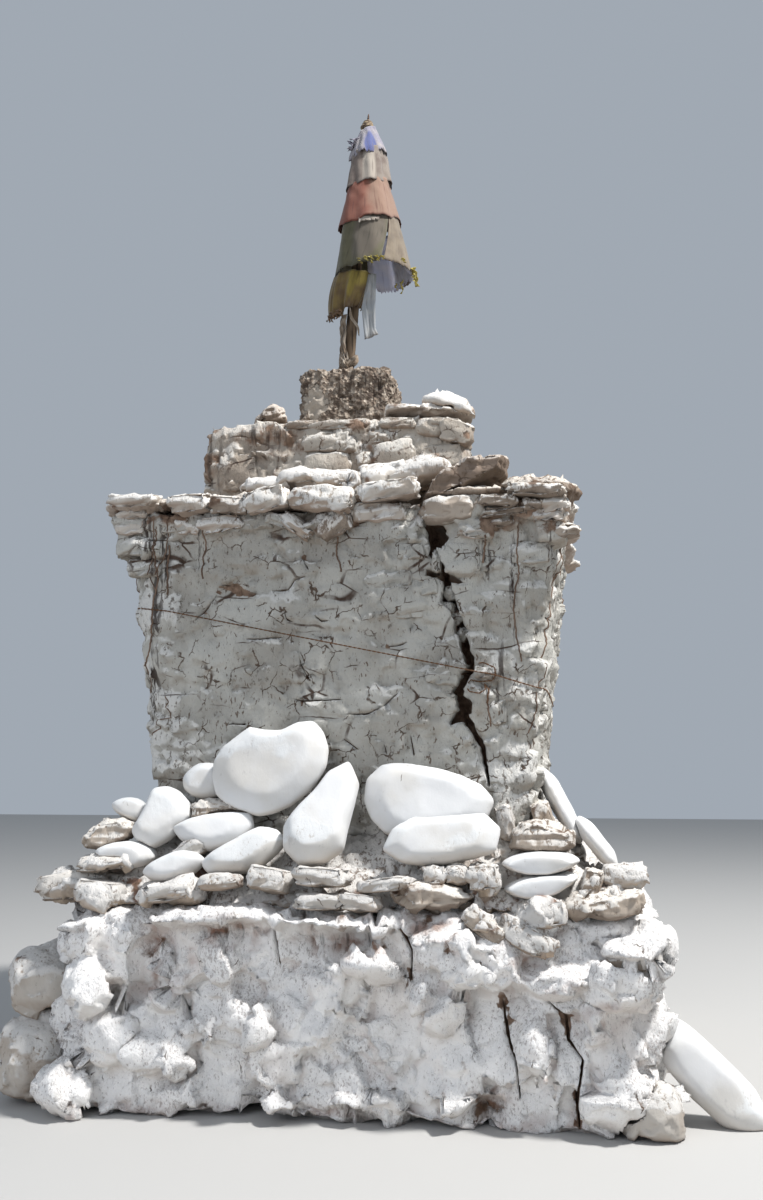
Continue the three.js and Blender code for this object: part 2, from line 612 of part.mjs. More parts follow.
// The heap on the front of the ledge, nearest stones first, in real outlines.
const HEAP = [
  {
    name: 'long_brown_stone',
    finish: 'slate',
    outline: [[-210, -5], [-140, 30], [50, 45], [155, 68], [178, 20], [150, -40], [-120, -78]],
    thickness: 210,
    at: [1345, -1300, 985],
    turn: 8,
  },
  {
    name: 'brown_slab',
    finish: 'slate',
    outline: [[-180, 5], [-105, 58], [60, 48], [200, -5], [100, -62], [-120, -48]],
    thickness: 190,
    at: [530, -1335, 1010],
  },
  {
    name: 'lens_stone_lower',
    finish: 'limeOnStone',
    outline: [[-180, -18], [-60, 40], [70, 55], [195, 52], [60, -42], [-90, -60]],
    thickness: 330,
    at: [1035, -1222, 1056],
    round: 0.16,
  },
  {
    name: 'lens_stone_upper',
    finish: 'limeOnStone',
    outline: [[-182, 0], [-60, 52], [60, 56], [200, 26], [60, -50], [-90, -46]],
    thickness: 330,
    at: [1030, -1190, 1150],
    round: 0.16,
  },
  {
    name: 'oval_stone_front',
    finish: 'limeOnStone',
    outline: [[-270, -40], [-180, 100], [10, 124], [270, 126], [290, -20], [150, -80], [-150, -104]],
    thickness: 150,
    at: [562, -1265, 1245],
    lean: 18,
  },
  {
    name: 'wedge_stone',
    finish: 'limeOnStone',
    outline: [[92, 250], [145, 130], [110, -40], [75, -235], [-150, -272], [-208, -95], [-80, 75], [30, 225]],
    thickness: 190,
    at: [15, -1215, 1395],
    lean: 24,
    round: 0.22,
  },
  {
    name: 'left_oval_low',
    finish: 'limeOnStone',
    outline: [[-160, -35], [-60, 52], [45, 84], [160, 45], [60, -55], [-60, -82]],
    thickness: 150,
    at: [-728, -1292, 1117],
    lean: 22,
  },
  {
    name: 'left_oval_long',
    finish: 'limeOnStone',
    outline: [[-205, -55], [-20, 75], [80, 136], [220, 90], [95, -62], [-45, -98], [-160, -105]],
    thickness: 160,
    at: [-395, -1270, 1180],
    lean: 24,
  },
  {
    name: 'left_shadow_slab',
    finish: 'limeOnStone',
    outline: [[-165, 18], [25, 66], [150, 10], [95, -58], [-115, -50]],
    thickness: 230,
    at: [-1000, -1205, 1170],
    round: 0.24,
  },
  {
    name: 'left_oval_high',
    finish: 'limeOnStone',
    outline: [[-215, 10], [-20, 84], [215, 78], [165, -30], [-5, -104], [-170, -40]],
    thickness: 150,
    at: [-565, -1200, 1285],
    lean: 26,
  },
  {
    name: 'left_tall_stone',
    finish: 'limeOnStone',
    outline: [[-65, 150], [65, 145], [172, 18], [95, -85], [-42, -172], [-142, -85], [-88, 27]],
    thickness: 150,
    at: [-856, -1150, 1350],
    lean: 24,
  },
  {
    name: 'left_faceted_stone',
    finish: 'slate',
    outline: [[-140, -40], [-40, 62], [20, 78], [135, 20], [85, -45], [-60, -86]],
    thickness: 230,
    at: [-1120, -1120, 1275],
    round: 0.2,
    turn: 12,
  },
  {
    name: 'left_grey_stone',
    finish: 'slate',
    outline: [[-150, 50], [60, 68], [190, -20], [30, -74], [-150, -40]],
    thickness: 150,
    at: [-556, -1130, 1366],
    lean: 10,
  },
  {
    name: 'left_pointed_stone',
    finish: 'limeOnStone',
    outline: [[-112, 26], [14, 62], [92, 22], [55, -72], [-45, -40]],
    thickness: 110,
    at: [-1045, -1075, 1385],
    lean: 14,
  },
  {
    name: 'hollow_top_stone',
    finish: 'limeOnStone',
    outline: [[-125, 142], [5, 115], [105, 158], [190, 180], [258, 110], [284, -40], [155, -222], [-70, -308],
      [-275, -212], [-298, -5], [-210, 72]],
    thickness: 150,
    at: [-285, -1130, 1662],
    lean: 10,
    detail: 20,
  },
  {
    name: 'small_round_stone',
    finish: 'limeOnStone',
    outline: [[-32, 90], [104, 68], [100, -78], [-50, -80], [-112, -5]],
    thickness: 110,
    at: [-665, -1075, 1528],
    lean: 8,
  },
  {
    name: 'oval_stone_back',
    finish: 'limeOnStone',
    outline: [[-240, 165], [105, 134], [290, 44], [328, -60], [60, -165], [-215, -175], [-330, 40]],
    thickness: 150,
    at: [500, -1110, 1445],
    lean: 12,
    detail: 16,
  },
  {
    name: 'rough_grey_stone',
    finish: 'slate',
    outline: [[-145, -42], [-125, 48], [-50, 88], [165, 10], [150, -50], [-5, -70]],
    thickness: 200,
    at: [1045, -1120, 1262],
    round: 0.2,
  },
];

// Slabs that lean edge on against the body's right side.
const LEANING = [
  { name: 'leaning_slab_near', outline: [[-250, -150], [-200, 190], [60, 225], [250, 120], [230, -170]],
    thickness: 92, at: [1140, -640, 1395], tip: 27 },
  { name: 'leaning_slab_far', outline: [[-200, -100], [-150, 130], [90, 150], [200, 40], [160, -130]],
    thickness: 84, at: [1312, -800, 1222], tip: 38 },
];

for (const { name, finish, outline, thickness, round, detail, ...where } of HEAP) {
  add(name, solidOf(place(outlineStone({ outline, thickness, round, detail }), where)), finish);
}

for (const { name, outline, thickness, at, tip } of LEANING) {
  const stone = outlineStone({ outline, thickness, round: 0.36 });
  stone.rotateZ(Math.PI / 2);
  stone.rotateY(THREE.MathUtils.degToRad(-tip));
  stone.translate(...at);
  add(name, solidOf(stone), 'limeOnStone');
}

for (const { name, finish, stone, ...where } of LOOSE_ON_TIERS) {
  add(name, solidOf(place(stone, where)), finish);
}

// Boulders and slabs at the plinth's foot stand on the ground.

const FOOT_STONES = [
  ['foot_boulder_low', boulder({ size: [400, 620, 400], power: 3, seed: 4, lump: 0.06 }), { at: [-1400, -1130, 195] }],
  ['foot_boulder_high', boulder({ size: [380, 600, 330], power: 3, seed: 9, lump: 0.06 }), { at: [-1420, -1050, 540] }],
  ['foot_stone_right', boulder({ size: [280, 300, 260], power: 2.8, seed: 6, lump: 0.05 }), { at: [1500, -1330, 105] }],
  ['foot_slab_right', outlineStone({
    outline: [[-270, 185], [-150, 262], [20, 140], [230, -70], [280, -190], [200, -262], [60, -210], [-140, -20]],
    thickness: 190,
    round: 0.36,
    detail: 18,
  }), { at: [1776, -1120, 195], lean: 8 }],
];

for (const [name, stone, where] of FOOT_STONES) {
  add(name, solidOf(place(stone, where)).subtract(ground), 'limeOnStone');
}

// The pole's cap, and the bands of faded cloth that hang round the pole.

function turned(profile, detail = 12) {
  const points = profile.map(([r, z]) => new THREE.Vector2(r, z));
  return welded(new THREE.LatheGeometry(points, detail)).rotateX(Math.PI / 2);
}

const CAP = [[0, 0], [30, 0], [44, 16], [46, 32], [30, 46], [18, 50], [18, 64], [0, 64]];
const CAP_SUNK = 6;
add('pole_cap', solidOf(alongPole(turned(CAP), POLE.top - CAP_SUNK)), 'iron');
const SPIKE = [[0, 0], [7, 0], [6, 30], [0, 46]];
const CAP_TOP = POLE.top - CAP_SUNK + CAP.at(-1)[1];
add('pole_spike', solidOf(alongPole(turned(SPIKE, 8), CAP_TOP)), 'iron');

// The flags hang round the pole as one skirt that leans out to the right: height, how far
// its middle stands off the pole, radius.
const SKIRT = [[5676, 6, 48], [5500, 25, 112], [5270, 43, 140], [5010, 73, 193], [4840, 100, 220], [4665, 124, 245]];
const GATHERED = [[4664.5, -6, 122], [4440, -30, 106], [4345, -66, 50]];
const WRAPPED = [[4399, 0, 60], [BLOCK_TOP + 6, 0, 62]];

function profileAt(profile, z) {
  const below = profile.findIndex(([height]) => height <= z + SLIVER);
  if (below <= 0) return profile.at(below).slice(1);
  const [top, foot] = [profile[below - 1], profile[below]];
  const part = (top[0] - z) / (top[0] - foot[0]);
  return [1, 2].map((i) => THREE.MathUtils.lerp(top[i], foot[i], part));
}

// A band of cloth round the pole, closed to a solid, with a few soft folds.
function clothBand({ from, to, profile, folds, fold, rings = 2 }) {
  const height = from - to;
  const geometry = welded(new THREE.CylinderGeometry(1, 1, height, 16, rings)).rotateX(Math.PI / 2);
  return solidOf(reshape(geometry, (p) => {
    const z = (from + to) / 2 + p.z;
    const [off, radius] = profileAt(profile, z);
    const onAxis = p.x * p.x + p.y * p.y < 0.5;
    const angle = Math.atan2(p.y, p.x);
    const reach = onAxis ? 0 : radius + fold * Math.sin(folds * angle + from);
    p.set(poleX(z) + off + reach * Math.cos(angle), reach * Math.sin(angle), z);
  }));
}

const BANDS = [
  { name: 'flag_blue', finish: 'blue', to: 5500, folds: 5, fold: 6 },
  { name: 'flag_white', finish: 'white', to: 5270, folds: 6, fold: 8 },
  { name: 'flag_red', finish: 'red', to: 5010, folds: 5, fold: 10 },
];
let bandTop = SKIRT[0][0];
for (const { name, finish, ...band } of BANDS) {
  add(name, clothBand({ ...band, from: bandTop, profile: SKIRT }), finish);
  bandTop = band.to - SEAT_GAP;
}

// The lowest band is slit from its top right to its foot in front: the flag left of the
// slit is green, and the one right of it beige.
const SLIT = [[185, -129, 5010], [140, -234, 4665], [-20, 230, 4840]].map((p) => new THREE.Vector3(...p));
const SLIT_GAP = 4;
const slit = new THREE.Plane().setFromCoplanarPoints(...SLIT);
const toRight = Math.sign(slit.normal.x);
const lowest = clothBand({ from: bandTop, to: SKIRT.at(-1)[0], profile: SKIRT, folds: 5, fold: 10, rings: 3 });
const halves = [['flag_green', 'green', -toRight], ['flag_beige', 'beige', toRight]];
for (const [name, finish, way] of halves) {
  const normal = slit.normal.clone().multiplyScalar(way);
  add(name, lowest.trimByPlane(normal.toArray(), -slit.constant * way + SLIT_GAP / 2), finish);
}

const ends = (profile) => ({ from: profile[0][0], to: profile.at(-1)[0], profile });
add('flag_yellow', clothBand({ ...ends(GATHERED), folds: 4, fold: 8, rings: 3 }), 'yellow');
add('pole_wrap', clothBand({ ...ends(WRAPPED), folds: 3, fold: 6 }), 'beige');

const TAIL = [[-40, 215], [45, 205], [50, 0], [66, -215], [30, -225], [-15, -180], [-50, -20]];
add('flag_tail', solidOf(place(outlineStone({ outline: TAIL, thickness: 50 }), { at: [26, -98, 4440] })), 'beige');

// The twine is taut, so in plan it is the tightest loop round the body: it starts and
// ends at its knot. It climbs from the knot to the body's left side.

const bodyMesh = new THREE.Mesh(geometryOf(made.find((piece) => piece.name === 'body').solid));
bodyMesh.material.side = THREE.DoubleSide;
const CLEAR_OF_BODY = 1700;

function surfaceFrom(start, aim) {
  return new THREE.Raycaster(start, aim).intersectObject(bodyMesh)[0].point;
}

function ropePoint(turn) {
  const square = squarePoint(turn);
  const middleX = (BODY.top.left + BODY.top.right) / 2;
  const part = (square.x * BODY.top.right - ROPE.knotX) / (-BODY.top.right - ROPE.knotX);
  const z = THREE.MathUtils.lerp(ROPE.right, ROPE.left, THREE.MathUtils.clamp(part, 0, 1));
  const from = new THREE.Vector3(middleX + square.x * CLEAR_OF_BODY, square.y * CLEAR_OF_BODY, z);
  const aim = new THREE.Vector3(middleX, 0, z).sub(from).normalize();
  return surfaceFrom(from, aim).addScaledVector(aim, -(ROPE.diameter / 2 + SEAT_GAP));
}

function hullOf(points) {
  const turnOf = (o, a, b) => (a.x - o.x) * (b.y - o.y) - (a.y - o.y) * (b.x - o.x);
  const sorted = [...points].sort((a, b) => a.x - b.x || a.y - b.y);
  const chain = (list) => {
    const kept = [];
    for (const point of list) {
      while (kept.length > 1 && turnOf(kept.at(-2), kept.at(-1), point) <= 0) kept.pop();
      kept.push(point);
    }
    return kept.slice(0, -1);
  };
  return [...chain(sorted), ...chain(sorted.reverse())];
}

// A line pulled straight from stop to stop.
class TautLine extends THREE.Curve {
  constructor(stops) {
    super();
    this.stops = stops;
  }

  getPoint(t, target = new THREE.Vector3()) {
    const spans = this.stops.length - 1;
    const index = Math.min(spans - 1, Math.floor(t * spans));
    return target.lerpVectors(this.stops[index], this.stops[index + 1], t * spans - index);
  }

  getUtoTmapping(u) {
    return u;
  }
}

function ropeSolid() {
  const samples = Array.from({ length: ROPE.samples }, (_, i) => ropePoint((4 * i) / ROPE.samples));
  const loop = hullOf(samples);
  const first = loop.findIndex((p) => p.y < 0 && p.x > ROPE.knotX);
  const ordered = [...loop.slice(first), ...loop.slice(0, first)];
  const stops = [knotAt.clone().setX(knotAt.x + KNOT.gap), ...ordered, knotAt.clone().setX(knotAt.x - KNOT.gap)];
  const section = new THREE.Shape();
  section.absarc(0, 0, ROPE.diameter / 2, 0, 2 * Math.PI);
  return solidOf(welded(new THREE.ExtrudeGeometry(section, {
    steps: stops.length - 1,
    curveSegments: ROPE.sides / 2,
    bevelEnabled: false,
    extrudePath: new TautLine(stops),
  })));
}

const inFrontOfKnot = new THREE.Vector3(ROPE.knotX, -CLEAR_OF_BODY, ROPE.right + KNOT.rise);
const knotAt = surfaceFrom(inFrontOfKnot, new THREE.Vector3(0, 1, 0));
knotAt.y -= ROPE.diameter;
const knotStone = boulder({ size: KNOT.size, power: 2.4, lump: 0.1, seed: 2, detail: 1 });
add('rope_knot', solidOf(place(knotStone, { at: knotAt.toArray() })), 'twine');
add('binding_rope', ropeSolid(), 'twine');

export default stupa;
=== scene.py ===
"""Dresses a small whitewashed stupa: lime crust and plaster, loose stones, twine, pole and flags.

Lengths are metres, +Z is up, and the front with its crack and heap of stones faces -Y.
"""

import logging
import math
import random
from collections.abc import Callable, Sequence
from dataclasses import dataclass, field
from enum import Enum
from typing import Any

import bpy
import numpy as np
from mathutils import Matrix, Vector
from mathutils.bvhtree import BVHTree


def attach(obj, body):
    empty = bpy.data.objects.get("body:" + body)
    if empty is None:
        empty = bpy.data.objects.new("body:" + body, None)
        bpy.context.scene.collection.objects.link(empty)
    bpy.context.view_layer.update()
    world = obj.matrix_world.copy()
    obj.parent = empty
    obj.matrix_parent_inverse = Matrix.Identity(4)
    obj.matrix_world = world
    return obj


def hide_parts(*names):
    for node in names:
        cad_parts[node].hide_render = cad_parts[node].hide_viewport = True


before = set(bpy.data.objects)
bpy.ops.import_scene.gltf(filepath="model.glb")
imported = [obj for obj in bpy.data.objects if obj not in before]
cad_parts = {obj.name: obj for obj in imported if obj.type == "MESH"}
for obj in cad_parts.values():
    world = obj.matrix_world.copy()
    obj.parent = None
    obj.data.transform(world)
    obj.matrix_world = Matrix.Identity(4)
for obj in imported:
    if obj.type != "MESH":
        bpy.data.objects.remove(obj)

LOG = logging.getLogger("stupa")
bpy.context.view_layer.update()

Point = tuple[float, float, float]
Stroke = tuple[float, float, float, float, float]

LEDGE_Z = 0.93
TIER_TOP_Z = 3.525
BLOCK_TOP_Z = 3.983
POLE_TOP_Z = 5.69
POLE_FOOT_X = -0.127
POLE_LEAN = 0.0725
FACING = 0.2  # A point at least so far out towards a side belongs to it.
OUTSIDE = 2.0  # Farther out than any wall, so that rays are cast inwards from there.
FAR = 1e9


class Side(Enum):
    """A side of the stupa, by the turn that brings the front there."""

    FRONT = 0
    RIGHT = 90
    BACK = 180
    LEFT = 270


def linear(hex_colour: str) -> tuple[float, float, float, float]:
    """Turns an sRGB hex colour to linear light.

    Args:
        hex_colour: Six hex digits, such as "E8E4DC".

    Returns:
        Red, green, blue and an alpha of one.
    """
    parts = [int(hex_colour[i : i + 2], 16) / 255 for i in (0, 2, 4)]
    light = [c / 12.92 if c <= 0.04045 else ((c + 0.055) / 1.055) ** 2.4 for c in parts]
    return (light[0], light[1], light[2], 1.0)


class Graph:
    """A node tree that is being drawn up, for a material or for a relief."""

    def __init__(self, tree: bpy.types.NodeTree) -> None:
        """Keeps the tree.

        Args:
            tree: The tree that the nodes go into.
        """
        self.tree = tree

    def add(self, kind: str, inputs: Any = (), **settings: Any) -> bpy.types.Node:
        """Adds one node with its settings and its links.

        Args:
            kind: Blender's name for the kind of node.
            inputs: A tuple in the order of the sockets in use, or a dict by socket name. Each
                value is a number, a vector, a colour, a socket or a node.
            **settings: The node's own properties.

        Returns:
            The new node.
        """
        node = self.tree.nodes.new(kind)
        for name, value in settings.items():
            setattr(node, name, value)
        used = [socket for socket in node.inputs if socket.enabled]
        if not isinstance(inputs, dict):
            inputs = dict(enumerate(inputs))
        for key, value in inputs.items():
            socket = used[key] if isinstance(key, int) else next(s for s in used if s.name == key)
            if isinstance(value, bpy.types.Node):
                value = next(s for s in value.outputs if s.enabled)
            if isinstance(value, bpy.types.NodeSocket):
                self.tree.links.new(value, socket)
            else:
                socket.default_value = value
        return node


COLOUR = {"data_type": "RGBA"}
SOFT = {"interpolation_type": "SMOOTHSTEP"}
MIDDLE = (0.5, 0.5, 0.5)
DOME_LEVEL = 0.45  # The distance from its top at which a dome neither rises nor sinks.
OPEN_STRETCHES = 4.5  # Joints stand open in stretches of about 220 mm, so many to a metre.


def empty_material(name: str) -> bpy.types.Material:
    """Makes a material with no nodes in it.

    Args:
        name: The material's name.

    Returns:
        The material.
    """
    made = bpy.data.materials.new(name)
    made.use_nodes = True
    made.node_tree.nodes.clear()
    return made


def bent(
    graph: Graph, place: Any, scale: float, detail: float, reach: Point
) -> bpy.types.Node:
    """Bends the place that a pattern reads, so that its edges run unevenly.

    Args:
        graph: The tree to draw in.
        place: Where a point is.
        scale: How many bends go to a metre.
        detail: How many finer bends ride on them.
        reach: How far the place is moved, each way.

    Returns:
        The moved place.
    """
    bend = graph.add("ShaderNodeTexNoise", {"Vector": place, "Scale": scale, "Detail": detail})
    swing = graph.add("ShaderNodeVectorMath", (bend.outputs["Color"], MIDDLE), operation="SUBTRACT")
    return graph.add("ShaderNodeVectorMath", (swing, reach, place), operation="MULTIPLY_ADD")


def laid_stones(
    graph: Graph, place: bpy.types.NodeSocket, size: tuple[float, float], seed: float
) -> tuple[bpy.types.Node, bpy.types.Node, bpy.types.Node]:
    """Draws the pattern of rubble laid in rough courses, for a relief and for its material alike.

    Args:
        graph: The tree to draw in.
        place: The resting place of a point.
        size: How wide and how high a stone is, in metres.
        seed: Moves the pattern, so that no two masses share one.

    Returns:
        The distance to the nearest joint, each stone's own random colour, and how open the
        joint is there, because the lime fills most of it.
    """
    width, height = size
    moved = graph.add("ShaderNodeVectorMath", (place, (seed * 7.3, seed * 3.1, seed * 5.7)))
    swung = bent(graph, moved, 1 / (1.7 * width), 2.0, (width, width, height))
    cells = graph.add(
        "ShaderNodeVectorMath", (swung, (1 / width, 1 / width, 1 / height)), operation="MULTIPLY"
    )
    shared = {"Vector": cells, "Scale": 1.0, "Randomness": 0.85}
    edge = graph.add("ShaderNodeTexVoronoi", shared, feature="DISTANCE_TO_EDGE")
    stone = graph.add("ShaderNodeTexVoronoi", shared, feature="F1")
    gaps = graph.add(
        "ShaderNodeTexNoise", {"Vector": moved, "Scale": OPEN_STRETCHES, "Detail": 4.0}
    )
    opened = graph.add("ShaderNodeMapRange", (gaps, 0.50, 0.62, 0.0, 1.0), **SOFT)
    return edge, stone, opened


@dataclass(frozen=True)
class Relief:
    """How a surface rises and sinks: each pair is how wide a form is and how far it rises."""

    stones: tuple[float, float] = (0.0, 0.0)
    proud: float = 0.0
    joint: float = 0.0
    joint_share: float = 0.12
    boulders: tuple[float, float] = (0.0, 0.0)
    knobs: tuple[float, float] = (0.0, 0.0)
    swell: tuple[float, float] = (0.0, 0.0)
    crags: tuple[float, float] = (0.0, 0.0)
    facets: tuple[float, float] = (0.0, 0.0)
    grain: tuple[float, float] = (0.0, 0.0)
    layers: tuple[float, float] = (0.0, 0.0)
    ragged: float = 0.9
    seed: float = 0.0

    def _domes(
        self, graph: Graph, place: bpy.types.Node, form: tuple[float, float]
    ) -> bpy.types.Node:
        """Draws close-set domes with sharp valleys between them.

        Args:
            graph: The tree to draw in.
            place: Where a point is.
            form: How wide a dome is, and how far it rises.

        Returns:
            The height.
        """
        wide, high = form
        cell = graph.add(
            "ShaderNodeTexVoronoi",
            {"Vector": place, "Scale": 1 / wide, "Smoothness": 0.25},
            feature="SMOOTH_F1",
        )
        sunk = graph.add(
            "ShaderNodeMath", (DOME_LEVEL, cell.outputs["Distance"]), operation="SUBTRACT"
        )
        return graph.add("ShaderNodeMath", (sunk, 2 * high), operation="MULTIPLY")

    def _waves(
        self, graph: Graph, place: bpy.types.Node, form: tuple[float, float], detail: float
    ) -> bpy.types.Node:
        """Draws a soft random swelling.

        Args:
            graph: The tree to draw in.
            place: Where a point is.
            form: How wide a swelling is, and how far it rises.
            detail: How many finer waves ride on it.

        Returns:
            The height.
        """
        wide, high = form
        wave = graph.add(
            "ShaderNodeTexNoise", {"Vector": place, "Scale": 1 / wide, "Detail": detail}
        )
        middle = graph.add("ShaderNodeMath", (wave, 0.5), operation="SUBTRACT")
        return graph.add("ShaderNodeMath", (middle, 4 * high), operation="MULTIPLY")

    def _broken(
        self, graph: Graph, place: bpy.types.Node, form: tuple[float, float]
    ) -> bpy.types.Node:
        """Draws broken faces, each tipped its own way, with sharp steps between them.

        Args:
            graph: The tree to draw in.
            place: Where a point is.
            form: How wide a face is, and how far it rises.

        Returns:
            The height.
        """
        wide, high = form
        swung = bent(graph, place, 1.4 / wide, 3.0, (self.ragged * wide,) * 3)
        face = graph.add("ShaderNodeTexVoronoi", {"Vector": swung, "Scale": 1 / wide}, feature="F1")
        away = graph.add(
            "ShaderNodeVectorMath", (swung, face.outputs["Position"]), operation="SUBTRACT"
        )
        way = graph.add(
            "ShaderNodeVectorMath", (face.outputs["Color"], MIDDLE), operation="SUBTRACT"
        )
        tip = graph.add("ShaderNodeVectorMath", (away, way), operation="DOT_PRODUCT")
        return graph.add(
            "ShaderNodeMath", (tip.outputs["Value"], 5 * high / wide), operation="MULTIPLY"
        )

    def _masonry(self, graph: Graph, place: bpy.types.Node) -> list[bpy.types.Node]:
        """Draws single stones that stand out or back, and the joints between them.

        Args:
            graph: The tree to draw in.
            place: Where a point is.

        Returns:
            The heights.
        """
        edge, stone, opened = laid_stones(graph, place, self.stones, self.seed)
        parts = graph.add("ShaderNodeSeparateXYZ", (stone.outputs["Color"],))
        middle = graph.add("ShaderNodeMath", (parts, 0.5), operation="SUBTRACT")
        out = graph.add("ShaderNodeMath", (middle, 2 * self.proud), operation="MULTIPLY")
        raised = graph.add(
            "ShaderNodeMapRange",
            (edge.outputs["Distance"], 0.0, self.joint_share, -self.joint, 0.0),
            **SOFT,
        )
        eased = graph.add(
            "ShaderNodeMapRange",
            (edge.outputs["Distance"], 0.0, 1.6 * self.joint_share, 0.0, 1.0),
            **SOFT,
        )
        stepped = graph.add("ShaderNodeMath", (out, eased), operation="MULTIPLY")
        open_joint = graph.add("ShaderNodeMath", (raised, opened), operation="MULTIPLY")
        return [stepped, open_joint]

    def _beds(self, graph: Graph, place: bpy.types.Node) -> bpy.types.Node:
        """Draws the split edges of a stone that lies in thin beds.

        Args:
            graph: The tree to draw in.
            place: Where a point is.

        Returns:
            The height.
        """
        pitch, depth = self.layers
        flat = graph.add(
            "ShaderNodeVectorMath", (place, (1.2, 1.2, 1 / pitch)), operation="MULTIPLY"
        )
        beds = graph.add("ShaderNodeTexNoise", {"Vector": flat, "Scale": 1.0, "Detail": 1.0})
        return graph.add("ShaderNodeMapRange", (beds, 0.4, 0.6, -depth, depth), **SOFT)

    def group(self) -> bpy.types.NodeTree:
        """Draws the relief up as a node group.

        Returns:
            A group that moves each point along its normal, and keeps where it rested and how
            deep in a hollow it lies.
        """
        tree = bpy.data.node_groups.new("relief", "GeometryNodeTree")
        for way in ("INPUT", "OUTPUT"):
            tree.interface.new_socket("Geometry", in_out=way, socket_type="NodeSocketGeometry")
        graph = Graph(tree)
        start = graph.add("NodeGroupInput")
        place = graph.add("GeometryNodeInputPosition")
        normal = graph.add("GeometryNodeInputNormal")
        rested = graph.add(
            "GeometryNodeStoreNamedAttribute",
            {"Geometry": start, "Name": "rest", "Value": place},
            data_type="FLOAT_VECTOR",
            domain="POINT",
        )
        moved = graph.add(
            "ShaderNodeVectorMath", (place, (self.seed * 2.7, self.seed * 4.9, self.seed * 1.3))
        )
        heights: list[bpy.types.Node] = []
        if self.stones[0]:
            heights += self._masonry(graph, place)
        if self.boulders[0]:
            heights.append(self._domes(graph, moved, self.boulders))
        if self.knobs[0]:
            heights.append(self._domes(graph, moved, self.knobs))
        if self.swell[0]:
            heights.append(self._waves(graph, moved, self.swell, 2.0))
        if self.crags[0]:
            upright = graph.add(
                "ShaderNodeVectorMath", (moved, (1.0, 1.0, 0.4)), operation="MULTIPLY"
            )
            heights.append(self._waves(graph, upright, self.crags, 5.0))
        if self.facets[0]:
            wide, high = self.facets
            heights.append(self._broken(graph, moved, self.facets))
            heights.append(self._broken(graph, moved, (0.36 * wide, 0.26 * high)))
        if self.grain[0]:
            heights.append(self._waves(graph, moved, self.grain, 1.0))
        if self.layers[0]:
            heights.append(self._beds(graph, moved))
        total = heights[0]
        for height in heights[1:]:
            total = graph.add("ShaderNodeMath", (total, height), operation="ADD")
        offset = graph.add(
            "ShaderNodeVectorMath", {"Vector": normal, "Scale": total}, operation="SCALE"
        )
        shaped = graph.add("GeometryNodeSetPosition", {"Geometry": rested, "Offset": offset})
        around = graph.add(
            "GeometryNodeBlurAttribute",
            {"Value": place, "Iterations": 14},
            data_type="FLOAT_VECTOR",
        )
        sunk = graph.add("ShaderNodeVectorMath", (around, place), operation="SUBTRACT")
        depth = graph.add("ShaderNodeVectorMath", (sunk, normal), operation="DOT_PRODUCT")
        kept = graph.add(
            "GeometryNodeStoreNamedAttribute",
            {"Geometry": shaped, "Name": "hollow", "Value": depth.outputs["Value"]},
            data_type="FLOAT",
            domain="POINT",
        )
        graph.add("NodeGroupOutput", (kept,))
        return tree


def deselect() -> None:
    """Leaves nothing selected."""
    for thing in bpy.context.selected_objects:
        thing.select_set(False)


def select(*things: bpy.types.Object) -> bpy.types.Object:
    """Selects these objects alone.

    Args:
        *things: The objects; the first becomes the active one.

    Returns:
        The active object.
    """
    deselect()
    for thing in things:
        thing.select_set(True)
    bpy.context.view_layer.objects.active = things[0]
    return things[0]


def finish_with(piece: bpy.types.Object, kind: str, **settings: Any) -> None:
    """Adds a modifier to a piece and applies it.

    Args:
        piece: The piece.
        kind: Blender's name for the kind of modifier.
        **settings: The modifier's properties.
    """
    select(piece)
    modifier = piece.modifiers.new(kind.lower(), kind)
    for name, value in settings.items():
        setattr(modifier, name, value)
    bpy.ops.object.modifier_apply(modifier=modifier.name)


def raise_relief(piece: bpy.types.Object, relief: Relief) -> None:
    """Gives a piece its relief."""
    finish_with(piece, "NODES", node_group=relief.group())


def triangles_of(piece: bpy.types.Object) -> int:
    """Counts a piece's triangles."""
    return sum(len(face.vertices) - 2 for face in piece.data.polygons)


def thin_out(piece: bpy.types.Object, limit: int) -> None:
    """Takes faces out where a piece is flattest, down to a limit.

    Args:
        piece: The piece.
        limit: The most triangles that it may keep.
    """
    count = triangles_of(piece)
    if count > limit:
        finish_with(piece, "DECIMATE", ratio=limit / count)


def new_piece(name: str, mesh: bpy.types.Mesh) -> bpy.types.Object:
    """Makes an object of a mesh at the origin.

    Args:
        name: The piece's name.
        mesh: Its mesh.

    Returns:
        The object.
    """
    piece = bpy.data.objects.new(name, mesh)
    bpy.context.scene.collection.objects.link(piece)
    return piece


def joined(name: str, pieces: Sequence[bpy.types.Object]) -> bpy.types.Object:
    """Joins pieces into one mesh.

    Args:
        name: The joined piece's name.
        pieces: The pieces, which are used up.

    Returns:
        The joined piece.
    """
    whole = select(*pieces)
    if len(pieces) > 1:
        bpy.ops.object.join()
    whole.name = name
    whole.data.name = name
    return whole


def copy_of(name: str, *nodes: str) -> bpy.types.Object:
    """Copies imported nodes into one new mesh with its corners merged.

    Args:
        name: The new piece's name.
        *nodes: The nodes to copy.

    Returns:
        The new piece.
    """
    copies = [new_piece(name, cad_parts[node].data.copy()) for node in nodes]
    whole = joined(name, copies)
    bpy.ops.object.mode_set(mode="EDIT")
    bpy.ops.mesh.select_all(action="SELECT")
    bpy.ops.mesh.remove_doubles(threshold=0.00005)
    bpy.ops.mesh.customdata_custom_splitnormals_clear()
    bpy.ops.object.mode_set(mode="OBJECT")
    return whole


def points_of(piece: bpy.types.Object) -> np.ndarray:
    """Reads a piece's points as rows of x, y and z.

    Args:
        piece: The piece.

    Returns:
        Its points, one a row.
    """
    flat = np.empty(len(piece.data.vertices) * 3, np.float32)
    piece.data.vertices.foreach_get("co", flat)
    return flat.reshape(-1, 3)


